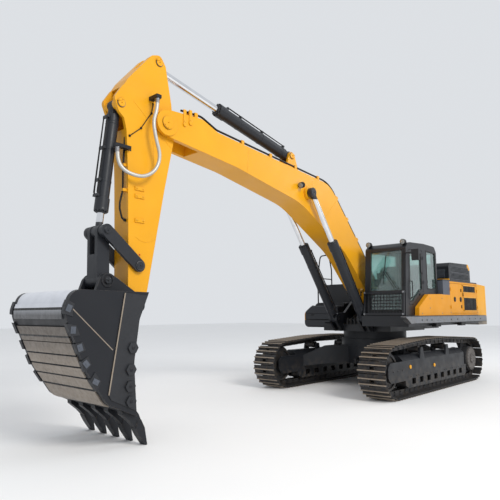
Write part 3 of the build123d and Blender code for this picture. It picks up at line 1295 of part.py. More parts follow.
def build_bucket_shell():
    """Curved shell with its side plates, and the ears with the two pins."""
    pin, link = BUCKET_PIN, BUCKET_LINK_PIN
    ears = [(pin[0] - 120, pin[1] - 30, 115), (pin[0] + 10, pin[1] - 135, 115), (7480, 1760, 0),
            (7640, 1990, 0), (link[0] + 190, 1990, 0), (link[0] + 110, link[1] + 40, 100),
            (link[0] - 20, link[1] + 118, 100), (pin[0] - 66, pin[1] + 118, 100)]
    arm_room = [(7380, 1850, 0), (7425, 1870, 0), (7472, 2020, 0), (7500, 2100, 0), (7380, 2100, 0)]
    with BuildPart() as bucket:
        plate(BUCKET_ROWS, -BUCKET_HALF, BUCKET_HALF)
        inner_half = BUCKET_HALF - BUCKET_SIDE_PLATE
        plate(BUCKET_ROOM_ROWS, -inner_half, inner_half, Mode.SUBTRACT)
        plate(arm_room, -BUCKET_EAR_IN, BUCKET_EAR_IN, Mode.SUBTRACT)
        pair(ears, BUCKET_EAR_IN, BUCKET_EAR_OUT)
        disc(pin, BUCKET_PIN_RADIUS, -BUCKET_EAR_OUT - PIN_HEAD, BUCKET_EAR_OUT + PIN_HEAD)
        disc_pair(link, LINK_PIN_RADIUS, BUCKET_EAR_IN, BUCKET_EAR_OUT + PIN_HEAD)
    save(bucket, "bucket")
    return bucket.part


def build_bucket_teeth(shell):
    """Adapters that straddle the lip, each with a pointed tip."""
    adapter = [(7800, 520, 0), (7745, 575, 20), (7640, 540, 30), (7535, 410, 60),
               (7458, 240, 0), (7540, 205, 0), (7655, 325, 60), (7790, 435, 20)]
    tip = [(7508, 352, 20), (7440, 225, 40), (7396, 2, 0), (7426, 2, 0),
           (7520, 130, 60), (7582, 235, 20), (7556, 318, 20)]
    spacing = 2 * TOOTH_END_Y / (TOOTH_COUNT - 1)
    with BuildPart() as teeth:
        for index in range(TOOTH_COUNT):
            y = -TOOTH_END_Y + spacing * index
            plate(adapter, y - TOOTH_HALF + 8, y + TOOTH_HALF - 8)
            plate(tip, y - TOOTH_HALF, y + TOOTH_HALF)
        add(shell, mode=Mode.SUBTRACT)
    save(teeth, "bucket_teeth")


def bucket_layer(outer, inner, y_low, y_high):
    """Layer along the bucket's outline, between two distances outside it."""
    points = [(x, z) for x, z, radius in BUCKET_ROWS]
    radii = [radius for x, z, radius in BUCKET_ROWS]
    for amount, spare, mode in ((outer, 0, Mode.ADD), (inner, 1, Mode.SUBTRACT)):
        with BuildSketch(side(y_high + spare)) as outline:
            with BuildLine():
                FilletPolyline(*points, radius=radii, close=True)
            make_face()
            if amount:
                offset(amount=amount)
        extrude(outline.sketch, amount=y_high - y_low + 2 * spare, mode=mode)


def keep_sectors(spans, y_low, y_high):
    """Keep only what lies between pairs of angles seen from the bucket's middle."""
    reach = 2000
    with BuildSketch(side(y_high)) as sectors:
        for span in spans:
            rim = [(BUCKET_MIDDLE[0] + reach * cos(angle * pi / 180),
                    BUCKET_MIDDLE[1] + reach * sin(angle * pi / 180)) for angle in span]
            with BuildLine():
                Polyline(BUCKET_MIDDLE, *rim, close=True)
            make_face()
    extrude(sectors.sketch, amount=y_high - y_low, mode=Mode.INTERSECT)


def build_bucket_wear_parts(shell):
    """Wear plates across the back, shrouds on the heel corners, side bands and edge protectors."""
    with BuildPart() as back_plates:
        bucket_layer(WEAR_PLATE, 0, -WEAR_PLATE_HALF, WEAR_PLATE_HALF)
        keep_sectors(WEAR_PLATE_SPANS, -WEAR_PLATE_HALF, WEAR_PLATE_HALF)
    shroud_low, shroud_high = WEAR_PLATE_HALF + 30, BUCKET_HALF + SIDE_BAND
    with BuildPart() as shrouds:
        bucket_layer(SHROUD_RISE, -SHROUD_DEPTH, shroud_low, shroud_high)
        keep_sectors([(angle - SHROUD_HALF_ANGLE, angle + SHROUD_HALF_ANGLE) for angle in SHROUD_ANGLES],
                     shroud_low, shroud_high)
        add(shell, mode=Mode.SUBTRACT)
        mirror(about=Plane.XZ)
    band = [(7478, 1960, 0), (7602, 1640, 200), (7672, 1080, 600), (7618, 470, 0),
            (7990, 645, 0), (8031, 709, 0), (7832, 1990, 0)]
    with BuildPart() as wear:
        add(back_plates.part)
        add(shrouds.part)
        pair(band, BUCKET_HALF, BUCKET_HALF + SIDE_BAND)
        for x, z in PROTECTOR_PLACES:
            angles = [corner * pi / 3 for corner in range(6)]
            hexagon = [(x + PROTECTOR_RADIUS * cos(angle), z + PROTECTOR_RADIUS * sin(angle), 8)
                       for angle in angles]
            pair(hexagon, BUCKET_HALF + SIDE_BAND, BUCKET_HALF + SIDE_BAND + PROTECTOR_THICK)
    save(wear, "bucket_wear_parts")


TRACKS = [("left", TRACK_Y, 1), ("right", -TRACK_Y, -1)]
for side_name, centre_y, outward in TRACKS:
    build_track(centre_y, f"track_{side_name}")
    build_idler(centre_y, f"idler_{side_name}")
    build_sprocket(centre_y, outward, f"sprocket_{side_name}")
    build_rollers(centre_y, side_name)
    build_track_frame(centre_y, -outward, side_name)
build_car_body()
build_swing_ring()
build_house_frame()
build_house_pins()
build_counterweight()
build_engine_block()
build_body_frames()
build_side_doors()
build_roof_cover()
build_engine_hood()
build_right_side()
build_cab()
build_cab_inside()
build_cab_outside()
build_boom()
build_cylinders()
build_arm()
build_arm_hose()
build_links()
bucket_shell = build_bucket_shell()
build_bucket_teeth(bucket_shell)
build_bucket_wear_parts(bucket_shell)
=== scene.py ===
"""Crawler excavator, dressed for the render. Metres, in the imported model's frame.

X points forward along the tracks, Y to the cab's side, Z up; the ground is at Z 0.
"""

from math import acos, atan2, cos, hypot, pi, radians, sin

import bmesh
import bpy
from mathutils import Matrix, Vector


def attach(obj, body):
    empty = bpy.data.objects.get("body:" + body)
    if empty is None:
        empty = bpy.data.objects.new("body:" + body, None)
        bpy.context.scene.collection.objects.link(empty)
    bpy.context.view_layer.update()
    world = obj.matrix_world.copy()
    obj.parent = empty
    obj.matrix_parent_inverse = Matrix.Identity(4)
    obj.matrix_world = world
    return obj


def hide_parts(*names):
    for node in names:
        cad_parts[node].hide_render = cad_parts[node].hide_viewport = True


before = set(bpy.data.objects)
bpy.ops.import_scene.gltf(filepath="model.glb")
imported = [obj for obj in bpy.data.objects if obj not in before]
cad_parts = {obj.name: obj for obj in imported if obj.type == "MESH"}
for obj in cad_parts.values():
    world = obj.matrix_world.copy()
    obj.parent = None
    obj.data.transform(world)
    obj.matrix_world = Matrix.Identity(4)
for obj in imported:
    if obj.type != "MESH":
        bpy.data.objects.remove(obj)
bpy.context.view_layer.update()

# Camera, from the photograph's viewing angle
CAMERA_PLACE = (11.65, 6.46, 1.71)
CAMERA_YAW = 222.49
CAMERA_PITCH = 7.09
CAMERA_ROLL = -0.27
CAMERA_LENS = 36.85
SENSOR = 36.0
FLOOR_REACH = 60

# Colours, linear
YELLOW = (0.73, 0.335, 0.007)
# Darker copy of the yellow for the left side's panels: painted shade
SHADED_YELLOW = (0.66, 0.27, 0.005)
DARK_PAINT = (0.011, 0.012, 0.015)
GREY_PAINT = (0.019, 0.021, 0.026)
BLACK = (0.005, 0.005, 0.006)
TRACK_GREY = (0.040, 0.040, 0.043)
DUST = (0.19, 0.145, 0.10)
SILVER = (0.34, 0.35, 0.36)
# Pale steel tones of a painted sky reflection on the bucket's top
SKY_REFLECTION_STEEL = ((0.52, 0.54, 0.58), (0.74, 0.76, 0.82))

# Directions and sides
AHEAD = (1, 0, 0)
LEFT = (0, 1, 0)
UP = (0, 0, 1)
DOWN = (0, 0, -1)
BOTH_SIDES = (1, -1)

# Tracks, as in the part's source
TRACK_Y = 1.37
SHOE_HALF = 0.3
SHOE_HOLE_HALF = 0.05
SHOE_COUNT = 50
SHOE_PLATE = 0.014
GROUSER_HEIGHT = 0.036
GROUSER_CAP = 0.012
TUMBLER_X = 2.155
PITCH_RADIUS = 0.4416
PITCH_TO_PLATE = 0.0484
RAIL_INNER = 0.0566
CARRIER_FRONT_X = 0.775
CARRIER_REAR_X = -0.615
CARRIER_RISE = 0.077
AXLE_Z = PITCH_RADIUS + PITCH_TO_PLATE + SHOE_PLATE + GROUSER_HEIGHT

# Working gear in side view, as in the part's source
BOOM_FOOT = (0.250, 2.080)
BOOM_TIP = (6.806, 4.698)
BOOM_BARREL_FOOT = (1.200, 1.600)
BOOM_ROD_EYE = (3.105, 4.201)
ARM_BARREL_FOOT = (3.430, 4.970)
ARM_ROD_EYE = (6.917, 5.689)
BUCKET_PIN = (7.250, 1.832)
BUCKET_BARREL_FOOT = (7.595, 4.811)
LINK_TOP = (7.797, 2.875)
LINK_FOOT = (7.243, 2.414)
BUCKET_LINK_PIN = (7.776, 2.174)
ARM_HALF = 0.180
BOOM_HALF = 0.262
EYE_HALF = 0.14

# House and cab
HOUSE_HALF = 1.600
CATWALK_Y = 1.720
CAB_IN_Y = 0.505
CAB_OUT_Y = 1.490
SEAT_Y = 1.0

# Bucket's back: where its plates end, in degrees about a middle in side view
BUCKET_MIDDLE = (7.900, 1.500)
PLATE_GAPS = [-68.5, -55.5, -42.5, -28.5, -5.3, 20.7]
PLATE_GAP_HALF = 1.1
TOP_BAND_FOOT = 8.5
TOP_PLATE_FOOT = 20.7

# Yellow clamps on the boom's pipes, from and to in X
BOOM_CLAMPS = [(0.586, 0.693), (1.066, 1.172), (1.478, 1.584), (1.891, 1.997), (2.625, 2.696),
               (3.418, 3.489), (4.212, 4.283), (5.005, 5.076), (6.144, 6.214), (6.276, 6.346)]

# The hose on the arm
ARM_HOSE_RADIUS = 0.028
ARM_HOSE = [
    (7.060, 0.345, 5.000),
    (7.060, 0.345, 4.830),
    (7.145, 0.358, 4.610),
    (7.090, 0.366, 4.340),
    (6.995, 0.360, 4.100),
    (7.060, 0.350, 3.870),
    (7.235, 0.338, 3.735),
    (7.400, 0.320, 3.715),
    (7.560, 0.250, 3.775),
    (7.650, 0.200, 3.920),
    (7.650, 0.200, 4.120),
]


def scaled(colour, amount):
    return tuple(part * amount for part in colour)


# Nodes of a material
class Shader:
    """A material with one shader, and short calls for the nodes that feed it."""

    def __init__(self, name, colour, roughness, metallic=0.0):
        self.material = bpy.data.materials.new(name)
        self.material.use_nodes = True
        self.tree = self.material.node_tree
        self.surface = self.tree.nodes["Principled BSDF"]
        self.put("Base Color", (*colour, 1))
        self.put("Roughness", roughness)
        self.put("Metallic", metallic)
        self.place = self.node("ShaderNodeTexCoord").outputs["Object"]

    def put(self, socket, value):
        self.surface.inputs[socket].default_value = value

    def node(self, kind, **inputs):
        made = self.tree.nodes.new(kind)
        for key, value in inputs.items():
            made.inputs[key.replace("_", " ")].default_value = value
        return made

    def link(self, start, end):
        self.tree.links.new(start, end)

    def feed(self, value, socket):
        self.link(value, self.surface.inputs[socket])

    def noise(self, scale, detail=4.0, stretch=None):
        """Noise in object space, with scale in cells a metre."""
        source = self.place
        if stretch:
            mapping = self.node("ShaderNodeMapping", Scale=stretch)
            self.link(source, mapping.inputs["Vector"])
            source = mapping.outputs["Vector"]
        made = self.node("ShaderNodeTexNoise", Scale=scale, Detail=detail)
        self.link(source, made.inputs["Vector"])
        return made.outputs["Fac"]

    def limits(self, value, low, high, to_low=0.0, to_high=1.0):
        """Value between two limits, spread over two others and clamped."""
        made = self.node("ShaderNodeMapRange", From_Min=low, From_Max=high, To_Min=to_low, To_Max=to_high)
        self.link(value, made.inputs["Value"])
        return made.outputs["Result"]

    def maths(self, operation, first, second):
        made = self.node("ShaderNodeMath")
        made.operation = operation
        for socket, value in zip(made.inputs, (first, second)):
            if isinstance(value, (int, float)):
                socket.default_value = value
            else:
                self.link(value, socket)
        return made.outputs["Value"]

    def times(self, first, second):
        return self.maths("MULTIPLY", first, second)

    def mix(self, share, first, second):
        """Colour between two colours, each a value or an output."""
        made = self.node("ShaderNodeMix")
        made.data_type = "RGBA"
        self.link(share, made.inputs["Factor"])
        for key, value in (("A", first), ("B", second)):
            socket = [s for s in made.inputs if s.name == key and s.type == "RGBA"][0]
            if isinstance(value, tuple):
                socket.default_value = (*value, 1)
            else:
                self.link(value, socket)
        return [s for s in made.outputs if s.type == "RGBA"][0]

    def clouds(self, scale, detail, first, second, stretch=None):
        """Colour drifting between two colours."""
        return self.mix(self.noise(scale, detail, stretch), first, second)

    def clouded(self, colour, lightest=1.1):
        return self.clouds(1.7, 5.0, scaled(colour, 0.88), scaled(colour, lightest))

    def split(self):
        """Place in object space, by axis."""
        made = self.node("ShaderNodeSeparateXYZ")
        self.link(self.place, made.inputs["Vector"])
        return made.outputs

    def inside(self, *limits):
        """One inside a box in object space, nought outside. Each limit is an axis, a low and a high."""
        place = self.split()
        share = 1.0
        for axis, low, high in limits:
            above = self.maths("GREATER_THAN", place[axis], low)
            below = self.maths("LESS_THAN", place[axis], high)
            share = self.times(share, self.times(above, below))
        return share

    def rounded(self, radius):
        bevel = self.node("ShaderNodeBevel", Radius=radius)
        bevel.samples = 4
        return bevel.outputs["Normal"]

    def worn(self, tone, wear, colour):
        """Tone with another colour where the surface turns at an edge and is chipped."""
        dot = self.node("ShaderNodeVectorMath")
        dot.operation = "DOT_PRODUCT"
        self.link(self.rounded(0.008), dot.inputs[0])
        self.link(self.node("ShaderNodeNewGeometry").outputs["Normal"], dot.inputs[1])
        edge = self.limits(dot.outputs["Value"], 0.99, 0.8)
        chips = self.limits(self.noise(30.0, 6.0), 0.45, 0.6)
        return self.mix(self.times(self.times(edge, chips), wear), tone, colour)

    def bump(self, value, strength, distance, rounding=0.0):
        made = self.node("ShaderNodeBump", Strength=strength, Distance=distance)
        self.link(value, made.inputs["Height"])
        if rounding:
            self.link(self.rounded(rounding), made.inputs["Normal"])
        self.feed(made.outputs["Normal"], "Normal")

    def finish(self, tone, rough, bump, coat=None, shine=None, stretch=None):
        """The material. Rough is cells, detail, least and most; bump is cells, detail, strength, distance and
        rounding; coat is a clear coat over paint that itself shines little."""
        self.feed(tone, "Base Color")
        self.feed(self.limits(self.noise(*rough[:2], stretch), 0.3, 0.7, *rough[2:]), "Roughness")
        self.bump(self.noise(*bump[:2], stretch), *bump[2:])
        if coat is not None:
            self.put("Coat Weight", coat)
            self.put("Coat Roughness", 0.22)
            self.put("Specular IOR Level", 0.22 + coat if shine is None else shine)
        return self.material


def sprayed(roughness):
    """Cells, detail, least and most roughness of sprayed paint."""
    return (4.0, 6.0, roughness * 0.82, roughness * 1.22)


def orange_peel(rounding=0.008):
    return (260.0, 2.0, 0.05, 0.001, rounding)


def paint(name, colour, roughness, dust=0.0, dust_top=0.8, wear=0.0, rounding=0.006, gloss=0.08, shine=None):
    """Sprayed paint: slight clouding and orange peel, dust low down, worn edges."""
    made = Shader(name, colour, roughness)
    tone = made.clouded(colour)
    if dust:
        low = made.limits(made.split()["Z"], dust_top, 0.0)
        spots = made.limits(made.noise(9.0, 8.0), 0.42, 0.62)
        tone = made.mix(made.times(made.times(low, spots), dust), tone, DUST)
    if wear:
        tone = made.worn(tone, wear, SILVER)
    return made.finish(tone, sprayed(roughness), orange_peel(rounding), gloss, shine)


def masked(name, first, second, boxes, roughness=0.36, coat=0.08):
    """Paint of one colour, with another inside boxes in object space."""
    made = Shader(name, first, roughness)
    tone, other = made.clouded(first), made.clouded(second)
    for limits in boxes:
        tone = made.mix(made.inside(*limits), tone, other)
    return made.finish(tone, sprayed(roughness), orange_peel(), coat)


def steel(name, colour, roughness, dust=0.0, streak=None, metallic=1.0):
    made = Shader(name, colour, roughness, metallic)
    tone = made.clouds(6.0, 6.0, scaled(colour, 0.7), scaled(colour, 1.25), streak)
    if dust:
        spots = made.limits(made.noise(12.0, 8.0), 0.45, 0.65)
        tone = made.mix(made.times(spots, dust), tone, DUST)
    rough = (14.0, 5.0, roughness * 0.75, roughness * 1.35)
    return made.finish(tone, rough, (120.0, 5.0, 0.12, 0.001, 0.003), stretch=streak)


def glass_material():
    made = Shader("tinted_glass", (0.50, 0.72, 0.68), 0.03)
    made.put("Transmission Weight", 0.93)
    made.put("IOR", 1.45)
    made.put("Coat Weight", 1.0)
    made.put("Coat Roughness", 0.02)
    made.feed(made.clouds(3.0, 2.0, (0.48, 0.70, 0.66), (0.56, 0.78, 0.74)), "Base Color")
    made.bump(made.noise(2.5, 1.0), 0.01, 0.001)
    return made.material


def rubber_material():
    made = Shader("black_rubber", (0.012, 0.012, 0.012), 0.6)
    tone = made.clouds(18.0, 5.0, (0.008, 0.008, 0.008), (0.022, 0.021, 0.02))
    return made.finish(tone, (30.0, 4.0, 0.5, 0.75), (300.0, 3.0, 0.15, 0.001))


def cloth_material():
    made = Shader("seat_cloth", (0.03, 0.03, 0.034), 0.9)
    weave = made.node("ShaderNodeTexWave", Scale=180.0, Distortion=1.5, Detail=2.0)
    made.link(made.place, weave.inputs["Vector"])
    made.feed(made.mix(weave.outputs["Fac"], (0.02, 0.02, 0.024), (0.05, 0.05, 0.056)), "Base Color")
    made.bump(weave.outputs["Fac"], 0.4, 0.001)
    made.put("Sheen Weight", 0.4)
    made.put("Sheen Roughness", 0.5)
    return made.material


def track_material():
    """Dark worn steel with rusty dust in spots."""
    made = Shader("track_steel", TRACK_GREY, 0.5, 0.6)
    tone = made.clouds(7.0, 7.0, scaled(TRACK_GREY, 0.6), scaled(TRACK_GREY, 1.3))
    spots = made.limits(made.noise(11.0, 9.0), 0.44, 0.66)
    tone = made.mix(made.times(spots, 0.45), tone, scaled(DUST, 0.55))
    return made.finish(tone, (20.0, 5.0, 0.38, 0.72), (70.0, 6.0, 0.25, 0.002, 0.003))


def plate_wear_and_reflection_material():
    """Dark bucket paint on the outer parts, and rubbed steel on the plates across the back, with a painted
    sky reflection on the top plate and a painted sheen lighting the grey band below it towards its top.
    """
    made = Shader("wear_plate", (0.035, 0.037, 0.045), 0.5, 0.15)
    rubbed = made.clouds(7.0, 7.0, (0.22, 0.18, 0.145), (0.36, 0.31, 0.26), (1.0, 0.3, 1.0))
    spots = made.limits(made.noise(16.0, 8.0), 0.48, 0.66)
    rubbed = made.mix(made.times(spots, 0.3), rubbed, (0.10, 0.085, 0.07))
    place = made.split()
    rise = made.maths("SUBTRACT", place["Z"], BUCKET_MIDDLE[1])
    run = made.maths("SUBTRACT", place["X"], BUCKET_MIDDLE[0])
    turn = made.times(made.maths("ARCTAN2", rise, run), 180 / pi)
    rubbed = made.mix(made.limits(turn, -42.0, 0.0, 0.0, 0.75), rubbed, (0.085, 0.074, 0.065))
    # Grey band under the top plate, lighter towards its top: a painted sheen
    dull = made.clouds(9.0, 6.0, (0.06, 0.062, 0.066), (0.19, 0.192, 0.20), (1.0, 1.6, 0.15))
    band = made.mix(made.limits(turn, 15.0, 20.0), dull, (0.30, 0.31, 0.33))
    # Top plate: a painted sky reflection
    bright = made.clouds(5.0, 6.0, *SKY_REFLECTION_STEEL)
    for foot, tone in ((TOP_BAND_FOOT, band), (TOP_PLATE_FOOT, bright)):
        rubbed = made.mix(made.maths("GREATER_THAN", turn, foot), rubbed, tone)
    for gap in PLATE_GAPS:
        away = made.maths("ABSOLUTE", made.maths("SUBTRACT", turn, gap), 0.0)
        rubbed = made.mix(made.maths("LESS_THAN", away, PLATE_GAP_HALF), rubbed, (0.014, 0.0135, 0.014))
    painted = made.clouds(6.0, 6.0, (0.010, 0.011, 0.014), (0.020, 0.022, 0.027))
    tone = made.mix(made.inside(("Y", -0.665, 0.665)), painted, rubbed)
    return made.finish(tone, (20.0, 5.0, 0.36, 0.66), (60.0, 6.0, 0.3, 0.002, 0.004))


def bucket_material():
    """Dark paint, with a painted sky reflection over the top of the back."""
    made = Shader("bucket_paint", (0.011, 0.0125, 0.016), 0.46)
    tone = made.clouds(1.7, 5.0, (0.007, 0.008, 0.011), (0.012, 0.0135, 0.018))
    tone = made.worn(tone, 0.6, (0.20, 0.155, 0.12))
    # Painted sky reflection over the top of the back
    back = made.inside(("X", 8.18, 8.7), ("Y", -0.66, 0.66), ("Z", 1.79, 2.05))
    tone = made.mix(back, tone, made.clouds(5.0, 6.0, *SKY_REFLECTION_STEEL))
    return made.finish(tone, (4.0, 6.0, 0.34, 0.55), (160.0, 3.0, 0.06, 0.001, 0.006), 0.06)


def fairing_material():
    """Yellow paint in a darker copy as painted shade, with the dark square behind the cab."""
    made = Shader("fairing_paint", SHADED_YELLOW, 0.4)
    square = made.inside(("X", -0.86, -0.40), ("Y", 1.2, 1.7), ("Z", 2.14, 2.6))
    tone = made.mix(square, made.clouded(SHADED_YELLOW), (0.075, 0.083, 0.105))
    return made.finish(tone, (4.0, 6.0, 0.34, 0.5), orange_peel(), 0.0, 0.25)


def weight_material():
    """Yellow casting with a grey-brown strip along its foot, dust together with painted shade under the
    catwalk.
    """
    made = Shader("weight_paint", YELLOW, 0.38)
    # Foot strip: dust and painted shade under the catwalk
    dusty = made.clouds(5.0, 7.0, (0.13, 0.105, 0.08), (0.26, 0.22, 0.17))
    tone = made.mix(made.inside(("Z", 1.0, 1.62)), made.clouded(YELLOW, 1.08), dusty)
    return made.finish(tone, (4.0, 6.0, 0.32, 0.5), (90.0, 4.0, 0.12, 0.001, 0.012), 0.05)


def rod_material():
    """Chromed rod whose painted eye is grey; the eyes are named by their places at rest."""
    made = Shader("rod_chrome", (0.72, 0.73, 0.75), 0.12, 1.0)
    eyes = 0.0
    for x, z in (BOOM_ROD_EYE, ARM_ROD_EYE, LINK_TOP):
        eye = made.inside(("X", x - EYE_HALF, x + EYE_HALF), ("Z", z - EYE_HALF, z + EYE_HALF))
        eyes = made.maths("MAXIMUM", eyes, eye)
    chrome = made.clouds(6.0, 6.0, (0.60, 0.61, 0.63), (0.86, 0.87, 0.89))
    made.feed(made.mix(eyes, chrome, GREY_PAINT), "Base Color")
    made.feed(made.limits(eyes, 0.0, 1.0, 0.12, 0.45), "Roughness")
    made.feed(made.limits(eyes, 0.0, 1.0, 1.0, 0.0), "Metallic")
    made.bump(made.noise(120.0, 3.0), 0.04, 0.001, 0.003)
    return made.material


MATERIALS = {
    "yellow": paint("yellow_paint", YELLOW, 0.34, rounding=0.008),
    # Yellow, with the two brackets that hold the hose in dark grey
    "arm": masked("arm_paint", YELLOW, DARK_PAINT, [
        [("X", 7.40, 7.75), ("Y", 0.10, 0.30), ("Z", 4.115, 4.175)],
        [("X", 7.00, 7.12), ("Y", 0.182, 0.40), ("Z", 4.99, 5.06)],
    ]),
    # Dark, with yellow outer sides
    "tanks": masked("tank_paint", DARK_PAINT, YELLOW, [[("Y", -1.61, -1.50)]]),
    # Grey, with a yellow mark between the grooves of the outer side
    "toolbox": masked("toolbox_paint", GREY_PAINT, YELLOW, [
        [("X", 0.30, 0.90), ("Y", -1.62, -1.545), ("Z", 1.54, 1.75)],
    ]),
    # Dark, with a yellow rear top edge and a yellow foot in front
    "engine_hood": masked("hood_paint", DARK_PAINT, YELLOW, [
        [("X", -2.86, -2.66), ("Z", 2.86, 3.05)],
        [("X", -1.40, -1.36), ("Z", 2.50, 2.575)],
    ]),
    # Black pipes under yellow clamps
    "pipes": masked("pipe_paint", BLACK, YELLOW, [[("X", low, high)] for low, high in BOOM_CLAMPS]),
    # Track steel, with the dusty outer face of the final drive's hub
    "sprocket": masked("sprocket_paint", scaled(TRACK_GREY, 0.8), (0.115, 0.105, 0.098), [
        [("Y", 1.530, 1.62)], [("Y", -1.62, -1.530)],
    ], roughness=0.55, coat=0.0),
    "dark": paint("dark_paint", DARK_PAINT, 0.36, dust=0.25, gloss=0.12),
    "hood": paint("grille_paint", (0.045, 0.05, 0.06), 0.4, gloss=0.1),
    "grey": paint("grey_paint", GREY_PAINT, 0.42, dust=0.4, wear=0.25, gloss=0.06),
    # Darker than the grey paint: dark paint with painted shade on the parts under the house
    "frame": paint("frame_paint", (0.012, 0.0135, 0.017), 0.45, dust=0.3, dust_top=0.7, wear=0.3, gloss=0.05),
    "bucket": bucket_material(),
    "track": track_material(),
    "tip": steel("grouser_edge", (0.30, 0.25, 0.20), 0.46, dust=0.3, metallic=0.5),
    # Blue-grey of the shroud pads: a painted highlight
    "pad": paint("shroud_pad", (0.075, 0.085, 0.105), 0.3, gloss=0.1),
    "pin": steel("pin_steel", (0.16, 0.16, 0.165), 0.4),
    "silver": steel("silver_plate", (0.30, 0.31, 0.33), 0.45, dust=0.3),
    "wrap": steel("silver_wrap", (0.50, 0.49, 0.46), 0.5, streak=(40.0, 40.0, 4.0), metallic=0.6),
    "glass": glass_material(),
    "rubber": rubber_material(),
    "cloth": cloth_material(),
    "black": paint("black_trim", BLACK, 0.55, rounding=0.004, gloss=0.05),
    "worn": plate_wear_and_reflection_material(),
    "fairing": fairing_material(),
    # Doors in the darker copy of the yellow: painted shade
    "doors": paint("door_paint", SHADED_YELLOW, 0.4, rounding=0.008, gloss=0.0, shine=0.25),
    "weight": weight_material(),
    "rod": rod_material(),
    "brass": steel("brass_fitting", (0.55, 0.38, 0.14), 0.35),
    "lens": paint("lamp_lens", (0.20, 0.205, 0.20), 0.12, rounding=0.002, gloss=0.6),
    "mirror": steel("mirror_glass", (0.6, 0.63, 0.65), 0.05),
    "red": paint("reflector_red", (0.45, 0.02, 0.01), 0.25, rounding=0.002),
}

NODE_MATERIALS = {
    "yellow": "boom right_fairing pump_door",
    "doors": "front_side_door rear_side_door",
    "arm": "arm",
    "tanks": "tanks",
    "toolbox": "right_toolbox",
    "engine_hood": "engine_hood",
    "fairing": "left_fairing",
    "weight": "counterweight",
    "dark": "cab_shell cab_roof cab_door front_guard roof_cover house_frame mirror exhaust_pipe",
    "black": "cab_console work_lamps boom_lamp handrail",
    "pipes": "boom_pipes",
    "frame": "car_body swing_ring track_frame_left track_frame_right",
    "sprocket": "sprocket_left sprocket_right",
    "hood": "hood_grilles",
    "worn": "bucket_wear_parts",
    "wrap": "arm_hose",
    "grey": "boom_cylinder_barrels arm_cylinder_barrel bucket_cylinder_barrel guide_links bucket_link "
            "engine_block",
    "silver": "left_catwalk",
    "bucket": "bucket bucket_teeth",
    "track": "track_left track_right idler_left idler_right lower_rollers_left lower_rollers_right "
             "upper_rollers_left upper_rollers_right",
    "rod": "boom_cylinder_rods arm_cylinder_rod bucket_cylinder_rod",
    "pin": "house_pins boom_pins arm_pins",
    "glass": "cab_glass door_glass",
    "cloth": "cab_seat",
}


def dress_nodes():
    for key, names in NODE_MATERIALS.items():
        for name in names.split():
            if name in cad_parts:
                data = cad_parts[name].data
                data.materials.clear()
                data.materials.append(MATERIALS[key])


# Camera, light and floor
def make_camera():
    yaw, pitch, roll = (radians(a) for a in (CAMERA_YAW, CAMERA_PITCH, CAMERA_ROLL))
    ahead = Vector((cos(pitch) * cos(yaw), cos(pitch) * sin(yaw), sin(pitch)))
    level = Vector((sin(yaw), -cos(yaw), 0))
    above = level.cross(ahead)
    right = level * cos(roll) + above * sin(roll)
    up = above * cos(roll) - level * sin(roll)
    data = bpy.data.cameras.new("camera")
    data.lens = CAMERA_LENS
    data.sensor_width = SENSOR
    camera = bpy.data.objects.new("camera", data)
    bpy.context.scene.collection.objects.link(camera)
    turn = Matrix((right, up, -ahead)).transposed().to_4x4()
    camera.matrix_world = Matrix.Translation(CAMERA_PLACE) @ turn
    bpy.context.scene.camera = camera


def area_light(name, place, target, size, power, colour=(1, 1, 1)):
    data = bpy.data.lights.new(name, "AREA")
    data.shape = "DISK"
    data.size = size
    data.energy = power
    data.color = colour
    light = bpy.data.objects.new(name, data)
    light.location = place
    light.rotation_euler = (Vector(target) - Vector(place)).to_track_quat("-Z", "Y").to_euler()
    bpy.context.scene.collection.objects.link(light)


def make_stage():
    scene = bpy.context.scene
    scene.view_settings.view_transform = "Standard"
    world = bpy.data.worlds.new("studio")
    world.use_nodes = True
    sky = world.node_tree.nodes["Background"]
    sky.inputs["Color"].default_value = (0.93, 0.96, 1.0, 1)
    sky.inputs["Strength"].default_value = 0.78
    scene.world = world
    area_light("key", (8, 19, 15), (2, 0, 2), 8, 3300, (1.0, 0.98, 0.94))
    area_light("rear_rim", (-14, 10, 12), (-2, 0, 2), 8, 450)
    data = bpy.data.meshes.new("floor")
    corners = [(x * FLOOR_REACH, y * FLOOR_REACH, 0) for x, y in ((-1, -1), (1, -1), (1, 1), (-1, 1))]
    data.from_pydata(corners, [], [(0, 1, 2, 3)])
    floor = bpy.data.objects.new("floor", data)
    scene.collection.objects.link(floor)
    pale = Shader("pale_floor", (0.86, 0.86, 0.86), 0.8)
    pale.feed(pale.clouds(0.5, 3.0, (0.84, 0.84, 0.84), (0.88, 0.88, 0.88)), "Base Color")
    data.materials.append(pale.material)


# Shapes: each is added to a mesh under construction
def meshes(count):
    return [bmesh.new() for _ in range(count)]


def ring_faces(bm, first, second):
    count = len(first)
    for i in range(count):
        bm.faces.new((first[i], first[(i + 1) % count], second[(i + 1) % count], second[i]))


def add_loft(bm, rings):
    """Closed solid through rings of as many points each."""
    made = [[bm.verts.new(point) for point in ring] for ring in rings]
    for first, second in zip(made, made[1:]):
        ring_faces(bm, first, second)
    bm.faces.new(list(reversed(made[0])))
    bm.faces.new(made[-1])


def add_prism(bm, outline, y_low, y_high):
    """Flat solid of an x, z outline between two lateral places."""
    add_loft(bm, [[(x, y, z) for x, z in outline] for y in (y_low, y_high)])


def add_box(bm, low, high):
    outline = [(low[0], low[2]), (high[0], low[2]), (high[0], high[2]), (low[0], high[2])]
    add_prism(bm, outline, low[1], high[1])


def add_side_box(bm, sign, inner, outer, low, high):
    """Box between two distances out on one side, and between two x, z corners."""
    y_low, y_high = sorted((sign * inner, sign * outer))
    add_box(bm, (low[0], y_low, low[1]), (high[0], y_high, high[1]))


